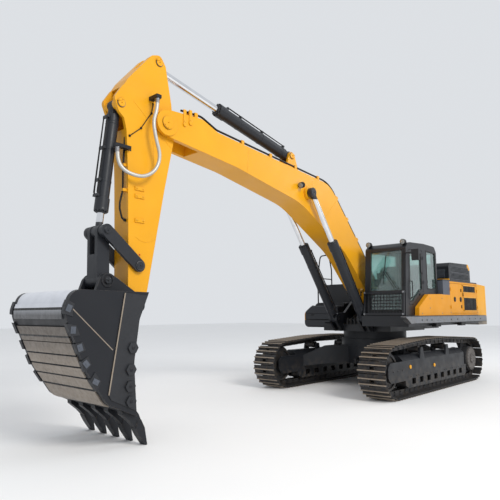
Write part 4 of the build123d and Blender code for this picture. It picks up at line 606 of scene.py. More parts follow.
def frame_along(axis):
    axis = Vector(axis).normalized()
    helper = Vector(UP) if abs(axis.z) < 0.9 else Vector(AHEAD)
    first = axis.cross(helper).normalized()
    return axis, first, axis.cross(first)


def circle(centre, first, second, radius, sides):
    turns = [2 * pi * i / sides for i in range(sides)]
    return [centre + (first * cos(turn) + second * sin(turn)) * radius for turn in turns]


def add_round(bm, start, axis, stations, sides=24):
    """Turned solid from a point along an axis. Each station is a distance and a radius."""
    axis, first, second = frame_along(axis)
    add_loft(bm, [circle(Vector(start) + axis * distance, first, second, radius, sides)
                  for distance, radius in stations])


def add_disc(bm, start, axis, radius, height, sides=16):
    add_round(bm, start, axis, [(0, radius), (height, radius)], sides)


def add_ring(bm, start, axis, inner, rows, sides=40):
    """Turned ring round a hole of an inner radius. Each row is a distance and an outer radius."""
    axis, first, second = frame_along(axis)
    made = []
    for distance, radius in [(rows[0][0], inner), *rows, (rows[-1][0], inner)]:
        points = circle(Vector(start) + axis * distance, first, second, radius, sides)
        made.append([bm.verts.new(point) for point in points])
    for one, other in zip(made, made[1:] + made[:1]):
        ring_faces(bm, one, other)


def add_bolt(bm, place, axis, radius, height):
    """Hexagon head on a washer."""
    add_round(bm, place, axis, [(-0.002, radius * 1.35), (height * 0.25, radius * 1.35)], 12)
    add_round(bm, place, axis, [(0, radius), (height * 0.85, radius), (height, radius * 0.85)], 6)


def add_bar(bm, start, end, width, depth, across):
    """Straight bar of rectangular section, with the width along across."""
    start, end = Vector(start), Vector(end)
    along = (end - start).normalized()
    across = Vector(across).normalized()
    other = along.cross(across).normalized()
    corners = [(-1, -1), (1, -1), (1, 1), (-1, 1)]
    add_loft(bm, [[point + across * width / 2 * a + other * depth / 2 * b for a, b in corners]
                  for point in (start, end)])


def add_tube(bm, points, radius, sides=10):
    """Round bar through points, mitred at each."""
    points = [Vector(p) for p in points]
    count = len(points)
    rings = []
    normal = frame_along(points[1] - points[0])[1]
    for i, point in enumerate(points):
        before = (point - points[i - 1]).normalized() if i else (points[1] - point).normalized()
        after = (points[i + 1] - point).normalized() if i < count - 1 else before
        along = (before + after).normalized()
        normal = (normal - along * normal.dot(along)).normalized()
        rings.append(circle(point, normal, along.cross(normal), radius, sides))
    add_loft(bm, rings)


def add_frame(bm, corners, width, depth, across):
    """Flat frame along a closed run of corners."""
    for start, end in zip(corners, corners[1:] + corners[:1]):
        start, end = Vector(start), Vector(end)
        step = (end - start).normalized() * width / 2
        add_bar(bm, start - step, end + step, width, depth, Vector(across).cross(end - start))


def add_seams(bm, half, seams):
    """Weld beads on both sides, each a run of x, z points."""
    for sign in BOTH_SIDES:
        for seam in seams:
            add_tube(bm, [(x, sign * (half - 0.002), z) for x, z in seam], 0.006, 8)


def finish_piece(bm, name, material, body, bevel=0.0, smooth=False, replaces=()):
    """Object of a built mesh, riding on a body."""
    bmesh.ops.recalc_face_normals(bm, faces=bm.faces)
    data = bpy.data.meshes.new(name)
    bm.to_mesh(data)
    bm.free()
    piece = bpy.data.objects.new(name, data)
    bpy.context.scene.collection.objects.link(piece)
    data.materials.append(MATERIALS[material])
    if smooth:
        for face in data.polygons:
            face.use_smooth = True
        data.set_sharp_from_angle(angle=radians(35))
    if bevel:
        made = piece.modifiers.new("edges", "BEVEL")
        made.width = bevel
        made.segments = 2
        made.limit_method = "ANGLE"
        made.angle_limit = radians(40)
    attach(piece, body)
    if replaces:
        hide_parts(*replaces)
    return piece


# Tracks
SHOE_ROWS = [(-0.06, 0.010), (0.02, 0.014), (0.08, 0.014), (0.27, 0.014), (0.5, 0.014), (0.77, 0.014),
             (0.90, 0.014), (0.98, 0.004)]
GROUSER_SHARES = [(0.08, 0.19, 0.27), (0.58, 0.69, 0.77)]
RAIL_ROWS = [(-0.2, 0.0), (-0.12, 0.03), (0.0, PITCH_TO_PLATE), (0.98, PITCH_TO_PLATE), (1.08, 0.02),
             (1.1, -0.02), (1.0, -0.045), (0.86, -RAIL_INNER), (0.14, -RAIL_INNER), (-0.05, -0.045),
             (-0.18, -0.03)]


def tangent_from(point, centre, radius, turn):
    reach = hypot(point[0] - centre[0], point[1] - centre[1])
    heading = atan2(point[1] - centre[1], point[0] - centre[0])
    angle = heading + turn * acos(radius / reach)
    return (centre[0] + radius * cos(angle), centre[1] + radius * sin(angle))


def chain_pins():
    """Pin centres at even distances, counterclockwise in side view."""
    top_z = AXLE_Z + PITCH_RADIUS + CARRIER_RISE
    front, rear = (TUMBLER_X, AXLE_Z), (-TUMBLER_X, AXLE_Z)
    front_carrier, rear_carrier = (CARRIER_FRONT_X, top_z), (CARRIER_REAR_X, top_z)
    front_touch = tangent_from(front_carrier, front, PITCH_RADIUS, -1)
    rear_touch = tangent_from(rear_carrier, rear, PITCH_RADIUS, 1)
    front_end = atan2(front_touch[1] - AXLE_Z, front_touch[0] - TUMBLER_X)
    rear_start = atan2(rear_touch[1] - AXLE_Z, rear_touch[0] + TUMBLER_X)
    bottom = AXLE_Z - PITCH_RADIUS
    stretches = [
        ("line", (-TUMBLER_X, bottom), (TUMBLER_X, bottom)),
        ("arc", front, (-pi / 2, front_end)),
        ("line", front_touch, front_carrier),
        ("line", front_carrier, rear_carrier),
        ("line", rear_carrier, rear_touch),
        ("arc", rear, (rear_start, 3 * pi / 2)),
    ]
    lengths = []
    for kind, first, second in stretches:
        if kind == "line":
            lengths.append(hypot(second[0] - first[0], second[1] - first[1]))
        else:
            lengths.append(PITCH_RADIUS * (second[1] - second[0]))
    step = sum(lengths) / SHOE_COUNT
    points = []
    for index in range(SHOE_COUNT):
        rest = index * step
        number = 0
        while rest > lengths[number]:
            rest -= lengths[number]
            number += 1
        kind, first, second = stretches[number]
        share = rest / lengths[number]
        if kind == "line":
            points.append(tuple(a + (b - a) * share for a, b in zip(first, second)))
        else:
            angle = second[0] + (second[1] - second[0]) * share
            points.append((first[0] + PITCH_RADIUS * cos(angle), first[1] + PITCH_RADIUS * sin(angle)))
    return points


def link_places():
    """For each link: its pin, the step along it, its outward normal and its length."""
    pins = chain_pins()
    places = []
    for start, end in zip(pins, pins[1:] + pins[:1]):
        length = hypot(end[0] - start[0], end[1] - start[1])
        along = ((end[0] - start[0]) / length, (end[1] - start[1]) / length)
        places.append((start, along, (along[1], -along[0]), length))
    return places


def on_link(place, rows, base=PITCH_TO_PLATE):
    """Points of a link, each from a share of its length and a rise over a base."""
    pin, along, out, length = place
    return [tuple(pin[i] + along[i] * share * length + out[i] * (base + rise) for i in (0, 1))
            for share, rise in rows]


def build_track(side_name, centre_y):
    """Shoes with clean-out holes and bolts, their rubbed edges, and the links with pins."""
    shoes, edges, links = meshes(3)
    half, hole = SHOE_HALF, SHOE_HOLE_HALF
    top = SHOE_PLATE + GROUSER_HEIGHT
    shoulder = top - GROUSER_CAP
    for place in link_places():
        pin, out = place[0], place[2]
        whole = on_link(place, SHOE_ROWS + [(0.98, 0.0), (0.0, 0.0)])
        front = on_link(place, SHOE_ROWS[:4] + [(0.27, 0.0), (0.0, 0.0)])
        rear = on_link(place, SHOE_ROWS[4:] + [(0.98, 0.0), (0.5, 0.0)])
        for outline, low, high in ((whole, -half, -hole), (whole, hole, half), (front, -hole, hole),
                                   (rear, -hole, hole)):
            add_prism(shoes, outline, centre_y + low, centre_y + high)
        for low, high, foot in GROUSER_SHARES:
            web = [(low - 0.02, 0.012), (low, shoulder), (high, shoulder), (foot, 0.012)]
            add_prism(shoes, on_link(place, web), centre_y - half, centre_y + half)
            cap = [(low, shoulder), (low + 0.01, top), (high - 0.01, top), (high, shoulder)]
            add_prism(edges, on_link(place, cap), centre_y - half + 0.001, centre_y + half - 0.001)
        for sign in BOTH_SIDES:
            for lateral in (0.062, 0.112):
                for x, z in on_link(place, [(0.34, SHOE_PLATE), (0.45, SHOE_PLATE)]):
                    add_bolt(shoes, (x, centre_y + sign * lateral, z), (out[0], 0, out[1]), 0.012, 0.012)
            low, high = sorted((centre_y + sign * 0.064, centre_y + sign * 0.106))
            add_prism(links, on_link(place, RAIL_ROWS, 0.0), low, high)
            add_round(links, (pin[0], centre_y + sign * 0.104, pin[1]), (0, sign, 0),
                      [(0, 0.024), (0.012, 0.022)], 10)
        add_disc(links, (pin[0], centre_y - 0.066, pin[1]), LEFT, 0.033, 0.132, 12)
    body = "undercarriage"
    shoes_piece = finish_piece(shoes, f"shoes_{side_name}", "track", body, replaces=(f"track_{side_name}",))
    finish_piece(edges, f"grouser_edges_{side_name}", "tip", body)
    finish_piece(links, f"links_{side_name}", "track", body)


# Arm hose, with the points of the part's route as control points
def build_hose():
    data = bpy.data.curves.new("arm_hose_wrap", "CURVE")
    data.dimensions = "3D"
    spline = data.splines.new("NURBS")
    spline.points.add(len(ARM_HOSE) - 1)
    for point, place in zip(spline.points, ARM_HOSE):
        point.co = (*place, 1)
    spline.order_u = 3
    spline.use_endpoint_u = True
    spline.resolution_u = 12
    data.bevel_depth = ARM_HOSE_RADIUS
    data.bevel_resolution = 5
    data.materials.append(MATERIALS["wrap"])
    hose = bpy.data.objects.new("arm_hose_wrap", data)
    bpy.context.scene.collection.objects.link(hose)
    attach(hose, "arm")
    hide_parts("arm_hose")
    bm = bmesh.new()
    for place in (ARM_HOSE[0], ARM_HOSE[-1]):
        add_round(bm, place, DOWN, [(0, 0.031), (0.07, 0.031), (0.075, 0.0295)], 20)
        add_round(bm, place, DOWN, [(-0.002, 0.038), (0.022, 0.038)], 6)
    collars = finish_piece(bm, "hose_collars", "silver", "arm", 0.0015, True)


# Caps on the pins, with their bolts and keeper plates
PIN_CAPS = [
    # name, body, material, place, outer side, cap radius, bolts, keeper's angle in degrees
    ("tip_caps", "boom", "yellow", BOOM_TIP, 0.296, 0.105, 0, -60),
    ("arm_foot_caps", "boom", "yellow", ARM_BARREL_FOOT, 0.130, 0.058, 0, 200),
    ("boom_foot_caps", "house", "grey", BOOM_FOOT, 0.348, 0.078, 4, 40),
    ("barrel_foot_caps", "house", "grey", BOOM_BARREL_FOOT, 0.500, 0.060, 3, 120),
    ("rod_eye_caps", "boom_rods", "grey", BOOM_ROD_EYE, 0.430, 0.085, 4, None),
    ("arm_eye_caps", "arm", "yellow", ARM_ROD_EYE, 0.194, 0.060, 0, 60),
    ("bucket_foot_caps", "arm", "yellow", BUCKET_BARREL_FOOT, 0.194, 0.060, 0, 60),
    ("link_foot_caps", "arm", "grey", LINK_FOOT, 0.254, 0.060, 0, None),
    ("link_top_caps", "guide_links", "grey", LINK_TOP, 0.254, 0.046, 0, None),
    ("bucket_pin_caps", "bucket", "grey", BUCKET_PIN, 0.260, 0.056, 3, None),
    ("bucket_link_caps", "bucket", "grey", BUCKET_LINK_PIN, 0.260, 0.046, 3, None),
]


def build_pin_caps():
    for name, body, material, (x, z), outer, radius, bolts, keeper in PIN_CAPS:
        bm = bmesh.new()
        for sign in BOTH_SIDES:
            axis = (0, sign, 0)
            face = (x, sign * (outer - 0.002), z)
            add_round(bm, face, axis, [(0, radius), (0.008, radius), (0.011, radius - 0.004)], 40)
            add_round(bm, face, axis, [(0.009, 0.011), (0.020, 0.010), (0.026, 0.005)], 12)
            for index in range(bolts):
                angle = 2 * pi * (index + 0.25) / bolts
                reach = radius * 0.66
                place = (x + reach * cos(angle), sign * (outer + 0.008), z + reach * sin(angle))
                add_bolt(bm, place, axis, 0.009, 0.008)
            if keeper is not None:
                angle = radians(keeper)
                radial = Vector((cos(angle), 0, sin(angle)))
                across = Vector((-sin(angle), 0, cos(angle)))
                middle = Vector((x, sign * (outer + 0.011), z)) + radial * radius * 0.78
                add_bar(bm, middle - across * 0.05, middle + across * 0.05, 0.034, 0.012, radial)
                for step in (-0.034, 0.034):
                    add_bolt(bm, middle + across * step + Vector(axis) * 0.005, axis, 0.009, 0.009)
        finish_piece(bm, name, material, body, 0.0015, True)


# Cylinder fittings: gland ring with bolts, weld bands, and the pipes along the barrel
CYLINDERS = [
    # cylinder, body, foot, rod's eye, lateral places, barrel radius, barrel length, rod radius
    ("boom", "boom_barrels", BOOM_BARREL_FOOT, BOOM_ROD_EYE, (0.385, -0.385), 0.105, 2.019, 0.058),
    ("arm", "arm_barrel", ARM_BARREL_FOOT, ARM_ROD_EYE, (0.0,), 0.112, 2.085, 0.062),
    ("bucket", "bucket_barrel", BUCKET_BARREL_FOOT, LINK_TOP, (0.0,), 0.092, 1.640, 0.052),
]


def build_cylinder_fittings():
    for name, body, foot, eye, laterals, barrel, length, rod in CYLINDERS:
        run = hypot(eye[0] - foot[0], eye[1] - foot[1])
        along = Vector(((eye[0] - foot[0]) / run, 0, (eye[1] - foot[1]) / run))
        above = Vector((-along.z, 0, along.x))
        inner = barrel - 0.003
        rim = barrel + 0.012
        strap_places = (length * 0.42, length * 0.72)
        rings = [
            # distance from the foot, hole's radius, rows of the ring
            (length - 0.192, inner, [(0, rim), (0.024, rim)]),
            (length - 0.062, inner,
             [(0, barrel + 0.004), (0.018, rim), (0.056, rim), (0.062, barrel + 0.006)]),
            (length - 0.004, rod + 0.004,
             [(0, barrel - 0.012), (0.028, barrel - 0.016), (0.032, rod + 0.012)]),
        ]
        bead = [(0, barrel), (0.006, barrel + 0.007), (0.012, barrel)]
        rings += [(place, inner, bead) for place in (0.26, 0.30)]
        rings += [(place, inner, [(0, barrel + 0.004), (0.028, barrel + 0.004)]) for place in strap_places]
        bm, pipes = meshes(2)
        for y in laterals:
            base = Vector((foot[0], y, foot[1]))
            for distance, hole, rows in rings:
                add_ring(bm, base + along * distance, along, hole, rows)
            for place in circle(base + along * length, above, Vector(LEFT), barrel - 0.002, 12):
                add_bolt(bm, place, along, 0.010, 0.014)
            for lateral in (0.045, -0.045):
                add_tube(pipes, [base + along * distance + above * rise + Vector(LEFT) * lateral
                                 for distance, rise in ((0.215, barrel - 0.012), (0.215, barrel + 0.030),
                                                        (length - 0.26, barrel + 0.030),
                                                        (length - 0.20, barrel - 0.002))], 0.013, 12)
            for distance in (0.215, *(place + 0.014 for place in strap_places), length - 0.215):
                place = base + along * distance + above * (barrel + 0.018)
                add_bar(bm, place - along * 0.02, place + along * 0.02, 0.13, 0.034, LEFT)
        finish_piece(bm, f"{name}_cylinder_fittings", "grey", body, 0.0015, True)
        finish_piece(pipes, f"{name}_cylinder_lines", "black", body, 0.0, True)


# Arm: bolted blocks, the thin line over its side, the pipe down its front, and weld seams
ARM_BLOCKS = [(7.239, 3.573), (7.236, 3.457), (7.227, 3.090)]
ARM_PIPE_CLIPS = [(7.462, 3.900), (7.458, 3.525)]
GREASE_LINE = [(7.025, 4.936), (7.053, 4.803), (7.105, 4.730), (7.241, 4.515), (7.376, 4.399), (7.440, 4.345)]
ARM_PIPE = [(7.475, 4.330), (7.480, 4.200), (7.492, 3.900), (7.486, 3.520), (7.530, 3.330), (7.530, 3.240),
            (7.490, 3.110), (7.452, 3.080)]
ARM_SEAMS = [
    [(7.390, 4.915), (7.079, 4.662)],
    [(7.079, 4.662), (6.640, 4.330)],
    [(7.080, 4.660), (7.000, 4.300)],
    [(7.000, 4.300), (6.977, 3.932)],
    [(6.935, 2.842), (7.02, 2.795), (7.12, 2.775), (7.22, 2.795), (7.285, 2.842)],
]


def build_arm_details():
    side = ARM_HALF
    skin = side - 0.002
    blocks, lines, seams, nipples = meshes(4)
    for sign in BOTH_SIDES:
        axis = (0, sign, 0)
        for x, z in ARM_BLOCKS:
            add_side_box(blocks, sign, skin, side + 0.018, (x - 0.085, z - 0.030), (x + 0.085, z + 0.030))
            for step in (-0.055, 0.055):
                add_bolt(blocks, (x + step, sign * (side + 0.018), z), axis, 0.012, 0.010)
        add_disc(blocks, (7.213, sign * skin, 2.581), axis, 0.030, 0.004, 24)
        add_round(nipples, (7.213, sign * (side + 0.001), 2.581), axis, [(0, 0.015), (0.0035, 0.012)], 12)
        add_round(blocks, (6.905, sign * skin, 4.86), axis, [(0, 0.030), (0.014, 0.030), (0.018, 0.024)])
    grease = [(x, side + 0.008, z) for x, z in GREASE_LINE]
    add_tube(lines, grease, 0.007, 10)
    for x, z in GREASE_LINE[1::2]:
        add_side_box(lines, 1, skin, side + 0.020, (x - 0.014, z - 0.014), (x + 0.014, z + 0.014))
    add_round(lines, grease[0], UP, [(0, 0.011), (0.04, 0.011), (0.045, 0.006)], 10)
    pipe = [(x, 0.115, z) for x, z in ARM_PIPE]
    add_tube(lines, pipe, 0.014, 12)
    for x, z in ARM_PIPE_CLIPS:
        add_box(blocks, (x - 0.03, 0.08, z - 0.022), (x + 0.045, 0.15, z + 0.022))
    add_disc(lines, pipe[-1], (-1, 0, 0), 0.024, 0.03, 6)
    add_seams(seams, side, ARM_SEAMS)
    finish_piece(blocks, "arm_blocks", "yellow", "arm", 0.002, True)
    finish_piece(lines, "arm_lines", "black", "arm", 0.0, True)
    finish_piece(seams, "arm_seams", "yellow", "arm", 0.0, True)
    finish_piece(nipples, "arm_grease_caps", "red", "arm", 0.0, True)


# Boom: clamp straps near the tip, butt seams, the lamp's glass and the fittings at its foot
LAMP_ROWS = [(0, 0.054), (0.006, 0.052), (0.012, 0.040)]
BOOM_STRAPS = [(6.448, 5.024, 4.772), (6.325, 5.050, 4.825)]
BOOM_SEAMS = [
    [(2.02, 4.20), (2.62, 3.62)],
    [(0.78, 2.92), (1.30, 2.72)],
    [(4.9, 4.745), (4.95, 4.27)],
    [(2.90, 4.52), (3.02, 3.83)],
]


def build_boom_details():
    straps, seams, glass, fittings, ends = meshes(5)
    skin, face = BOOM_HALF - 0.002, BOOM_HALF + 0.012
    for sign in BOTH_SIDES:
        axis = (0, sign, 0)
        for x, top, foot in BOOM_STRAPS:
            add_side_box(straps, sign, skin, face, (x - 0.030, foot), (x + 0.030, top))
            add_bolt(straps, (x, sign * face, foot + 0.045), axis, 0.014, 0.010)
            add_disc(straps, (x, sign * skin, foot), axis, 0.036, 0.022, 24)
    add_seams(seams, BOOM_HALF, BOOM_SEAMS)
    aim = Vector((0.94, 0, -0.34)).normalized()
    add_round(glass, Vector((3.361, BOOM_HALF + 0.078, 4.327)) + aim * 0.0745, aim, LAMP_ROWS, 32)
    down = Vector((0.597, 0, -0.802))
    for index, y in enumerate((-0.17, -0.06, 0.06, 0.17)):
        start = Vector((0.895 - 0.02 * index, y, 2.312 - 0.015 * index))
        add_box(fittings, start - Vector((0.035, 0.035, 0.02)), start + Vector((0.035, 0.035, 0.03)))
        add_round(fittings, start, down, [(0, 0.026), (0.05, 0.026), (0.055, 0.020)], 16)
        add_disc(fittings, start + down * 0.05, down, 0.031, 0.028, 6)
        elbow = start + down * 0.15 + Vector((-0.03, 0, -0.03))
        add_tube(ends, [start + down * 0.07, start + down * 0.12, elbow], 0.019, 14)
    finish_piece(straps, "boom_straps", "yellow", "boom", 0.002, True)
    finish_piece(seams, "boom_seams", "yellow", "boom", 0.0, True)
    finish_piece(glass, "boom_lamp_glass", "lens", "boom", 0.0, True)
    finish_piece(fittings, "boom_foot_fittings", "brass", "boom", 0.001, True)
    finish_piece(ends, "boom_foot_stubs", "rubber", "boom", 0.0, True)


# Cab: seals, wiper, handles, lamps, levers and the padded seat
FRONT_SLOPE = (1, 0, 0.088)
FRONT_WINDOWS = [(2.190, 3.090), (1.760, 2.130)]
SIDE_WINDOWS = [
    (CAB_OUT_Y, [(-0.33, 2.26), (0.17, 2.26), (0.17, 3.14), (-0.33, 3.12)]),
    (CAB_OUT_Y, [(0.47, 2.235), (0.56, 2.22), (0.95, 1.975), (1.083, 1.96), (1.035, 3.02), (0.47, 3.055)]),
    (CAB_IN_Y, [(-0.28, 2.26), (1.12, 2.26), (1.065, 3.09), (-0.28, 3.12)]),
]


def front_x(z):
    """X of the cab's sloping front wall at a height."""
    return 1.335 - 0.132 * (z - 1.650) / 1.5


def build_cab_details():
    seals, trims, bolts, glass, shine, levers, screen = meshes(7)
    for low, high in FRONT_WINDOWS:
        y_low, y_high = CAB_IN_Y + 0.135, CAB_OUT_Y - 0.085
        places = ((y_low, low), (y_high, low), (y_high, high), (y_low, high))
        add_frame(seals, [(front_x(z), y, z) for y, z in places], 0.026, 0.012, FRONT_SLOPE)
    for y, outline in SIDE_WINDOWS:
        add_frame(seals, [(x, y, z) for x, z in outline], 0.022, 0.008, LEFT)
    hub = (front_x(2.16) + 0.02, 1.35, 2.16)
    add_round(trims, hub, AHEAD, [(-0.02, 0.035), (0.025, 0.035), (0.03, 0.028)], 20)
    for side_y, top_y in ((1.35, 1.04), (1.30, 0.98)):
        add_tube(trims, [(front_x(z) + 0.035, y, z) for y, z in ((side_y, 2.17), (top_y, 2.62))], 0.009, 8)
    blade = [(front_x(z) + 0.018, y, z) for y, z in ((0.97, 2.36), (1.03, 2.98))]
    add_bar(trims, *blade, 0.014, 0.022, LEFT)
    door_handle = ((1.07, 0.004, 2.02), (1.07, 0.05, 2.05), (1.055, 0.05, 2.38), (1.055, 0.004, 2.41))
    add_tube(trims, [(x, CAB_OUT_Y + reach, z) for x, reach, z in door_handle], 0.012, 10)
    post_handle = ((-0.016, 2.30), (0.055, 2.32), (0.055, 2.98), (-0.016, 3.0))
    add_tube(trims, [(front_x(z) + reach, CAB_OUT_Y - 0.03, z) for reach, z in post_handle], 0.013, 10)
    for z in (2.04, 2.60):
        add_box(trims, (0.418, CAB_OUT_Y - 0.004, z - 0.02), (0.46, CAB_OUT_Y + 0.016, z + 0.02))
    add_round(trims, (0.60, CAB_OUT_Y - 0.002, 2.12), LEFT, [(0, 0.024), (0.014, 0.024), (0.018, 0.018)], 20)
    for z in (1.685, 2.160):
        for y in (CAB_IN_Y + 0.03, CAB_OUT_Y - 0.03):
            add_bolt(bolts, (front_x(z) + 0.070, y, z), FRONT_SLOPE, 0.017, 0.016)
    for y in (CAB_IN_Y + 0.075, CAB_OUT_Y - 0.075):
        add_round(glass, (1.1995, y, 3.262), AHEAD, LAMP_ROWS, 32)
    add_round(trims, (0.45, 1.0, 3.285), UP, [(-0.02, 0.05), (0.012, 0.05), (0.02, 0.03)])
    add_box(shine, (1.181, CAB_OUT_Y + 0.150, 2.840), (1.1835, CAB_OUT_Y + 0.290, 3.060))
    for y in (SEAT_Y - 0.258, SEAT_Y + 0.258):
        lean = (0.1, 0, 1)
        knob = [(0, 0.016), (0.03, 0.026), (0.11, 0.024), (0.135, 0.012)]
        add_round(levers, (0.46, y, 2.225), lean, [(0, 0.042), (0.05, 0.026), (0.12, 0.012)], 16)
        add_round(levers, (0.472, y, 2.34), lean, knob, 16)
    for y in (SEAT_Y - 0.07, SEAT_Y + 0.07):
        add_tube(levers, [(0.80, y, 1.705), (0.84, y, 2.05), (0.80, y, 2.30)], 0.011, 10)
        add_round(levers, (0.80, y, 2.29), (-0.1, 0, 1), [(0, 0.012), (0.02, 0.022), (0.06, 0.02)], 14)
        add_box(levers, (0.80, y - 0.05, 1.702), (1.02, y + 0.05, 1.722))
    add_box(levers, (0.99, 0.68, 1.70), (1.01, 0.72, 2.33))
    add_box(screen, (0.98, 0.60, 2.32), (1.02, 0.80, 2.48))
    finish_piece(seals, "cab_seals", "rubber", "house", 0.002)
    finish_piece(trims, "cab_trim", "black", "house", 0.0015, True)
    finish_piece(bolts, "guard_bolts", "silver", "house", 0.001, True)
    finish_piece(glass, "cab_lamp_glass", "lens", "house", 0.0, True)
    finish_piece(shine, "mirror_face", "mirror", "house")
    finish_piece(levers, "cab_levers", "rubber", "house", 0.001, True)
    finish_piece(screen, "cab_screen", "black", "house", 0.004)


CUSHION_ROWS = [
    # name, outline, half width, reach of the swelling
    ("seat_cushion", [(-0.035, 2.030), (-0.035, 2.125), (0.395, 2.130), (0.410, 2.030)], 0.180, 0.022),
    ("seat_back", [(-0.055, 2.175), (-0.225, 2.765), (-0.165, 2.800), (0.030, 2.175)], 0.170, 0.022),
]


def puffed(bm, name, reach):
    """Solid remeshed and swollen by cloth pressure, with the distance limited."""
    scene = bpy.context.scene
    bmesh.ops.recalc_face_normals(bm, faces=bm.faces)
    data = bpy.data.meshes.new(name)
    bm.to_mesh(data)
    bm.free()
    rough = bpy.data.objects.new(name + "_form", data)
    scene.collection.objects.link(rough)
    remesh = rough.modifiers.new("remesh", "REMESH")
    remesh.mode = "VOXEL"
    remesh.voxel_size = 0.011
    graph = bpy.context.evaluated_depsgraph_get()
    even = bpy.data.meshes.new_from_object(rough.evaluated_get(graph))
    bpy.data.objects.remove(rough)
    made = bpy.data.objects.new(name, even)
    scene.collection.objects.link(made)
    cloth = made.modifiers.new("cloth", "CLOTH")
    cloth.settings.use_pressure = True
    cloth.settings.uniform_pressure_force = 4.0
    cloth.settings.effector_weights.gravity = 0.0
    for number in range(1, 21):
        scene.frame_set(number)
    graph = bpy.context.evaluated_depsgraph_get()
    swollen = bpy.data.meshes.new_from_object(made.evaluated_get(graph))
    for vertex, grown in zip(even.vertices, swollen.vertices):
        step = grown.co - vertex.co
        if step.length > reach:
            step = step.normalized() * reach
        vertex.co = vertex.co + step
    made.modifiers.remove(cloth)
    bpy.data.meshes.remove(swollen)
    scene.frame_set(1)
    fine = made.modifiers.new("fine", "SUBSURF")
    fine.levels = fine.render_levels = 1
    for face in even.polygons:
        face.use_smooth = True
    even.materials.clear()
    even.materials.append(MATERIALS["cloth"])
    return made


def build_seat():
    for name, outline, half, reach in CUSHION_ROWS:
        bm = bmesh.new()
        add_prism(bm, outline, SEAT_Y - half, SEAT_Y + half)
        piece = puffed(bm, name, reach)
        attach(piece, "house")
    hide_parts("cab_seat")
    rest = bmesh.new()
    for y in (SEAT_Y - 0.215, SEAT_Y + 0.215):
        add_box(rest, (-0.04, y - 0.022, 2.345), (0.26, y + 0.022, 2.385))
        add_box(rest, (-0.06, y - 0.012, 2.16), (0.02, y + 0.012, 2.36))
    finish_piece(rest, "arm_rests", "rubber", "house", 0.008)


# Doors: dark grilles, vents and latches
GRILLES = [
    # name, body, side, x limits, z limits
    ("rear_grille_low", "rear_side_door", 1, (-2.645, -1.725), (1.765, 2.100)),
    ("rear_grille_high", "rear_side_door", 1, (-2.580, -1.710), (2.230, 2.400)),
    ("pump_grille_low", "pump_door", -1, (-2.560, -1.240), (1.850, 2.030)),
    ("pump_grille_high", "pump_door", -1, (-2.560, -1.240), (2.170, 2.350)),
]
LATCHES = [
    # name, body, x, side, heights
    ("front_latch", "front_side_door", -1.575, 1, (1.86, 2.27)),
    ("rear_latch", "rear_side_door", -1.705, 1, (2.165,)),
    ("pump_latch", "pump_door", -1.06, -1, (1.86, 2.27)),
]
VENT_Z = 2.040


def build_door_details():
    for name, body, side, (x_low, x_high), (z_low, z_high) in GRILLES:
        bm, rim = meshes(2)
        add_side_box(bm, side, HOUSE_HALF - 0.018, HOUSE_HALF + 0.003, (x_low, z_low), (x_high, z_high))
        count = round((z_high - z_low) / 0.022)
        slat_y = side * (HOUSE_HALF + 0.006)
        for index in range(count):
            z = z_low + (index + 0.5) * (z_high - z_low) / count
            ends = [(x, slat_y, z) for x in (x_low + 0.012, x_high - 0.012)]
            add_bar(bm, *ends, 0.012, 0.005, (0, side, -0.8))
        for share in (0.25, 0.5, 0.75):
            x = x_low + (x_high - x_low) * share
            add_side_box(bm, side, HOUSE_HALF, HOUSE_HALF + 0.009, (x - 0.006, z_low), (x + 0.006, z_high))
        corners = [(x, side * (HOUSE_HALF + 0.004), z) for x, z in (
            (x_low, z_low), (x_high, z_low), (x_high, z_high), (x_low, z_high))]
        add_frame(rim, corners, 0.026, 0.010, LEFT)
        finish_piece(bm, name, "black", body)
        finish_piece(rim, name + "_rim", "yellow", body, 0.002)
    vents = bmesh.new()
    for x in (-1.153, -1.536):
        cup = [(0, 0.058), (0.012, 0.058), (0.012, 0.05)]
        collar = [(0, 0.064), (0.010, 0.064), (0.012, 0.060)]
        for depth, rows in ((-0.0215, cup), (-0.004, collar)):
            add_round(vents, (x, HOUSE_HALF + depth, VENT_Z), LEFT, rows, 36)
        for index in range(5):
            z = VENT_Z + (index - 2) * 0.021
            add_box(vents, (x - 0.05, HOUSE_HALF + 0.006, z - 0.003),
                    (x + 0.05, HOUSE_HALF + 0.011, z + 0.003))
    finish_piece(vents, "door_vents", "black", "front_side_door", 0.0, True)
    for name, body, x, side, heights in LATCHES:
        bm = bmesh.new()
        for z in heights:
            add_side_box(bm, side, HOUSE_HALF - 0.002, HOUSE_HALF + 0.010, (x - 0.022, z - 0.038),
                         (x + 0.022, z + 0.038))
            add_disc(bm, (x, side * (HOUSE_HALF + 0.008), z - 0.012), (0, side, 0), 0.012, 0.006)
        finish_piece(bm, name, "black", body, 0.004, True)


# House: catwalk fittings, bolts, tool box trim and exhaust rim
CATWALK_HOLES = (1.05, 0.80, 0.55, -0.55, -0.95, -1.75, -2.15, -2.55)
CATWALK_BOLTS = (0.09, 0.21, -1.41, -1.29)
HOUSE_BOLTS = [(0.32, 2.03), (0.32, 1.82), (-0.36, 1.70), (0.75, 1.70), (-0.36, 2.05)]
DOOR_BOLTS = [(-2.72, 1.72), (-0.87, 1.72), (-2.72, 2.42), (-0.87, 2.42)]


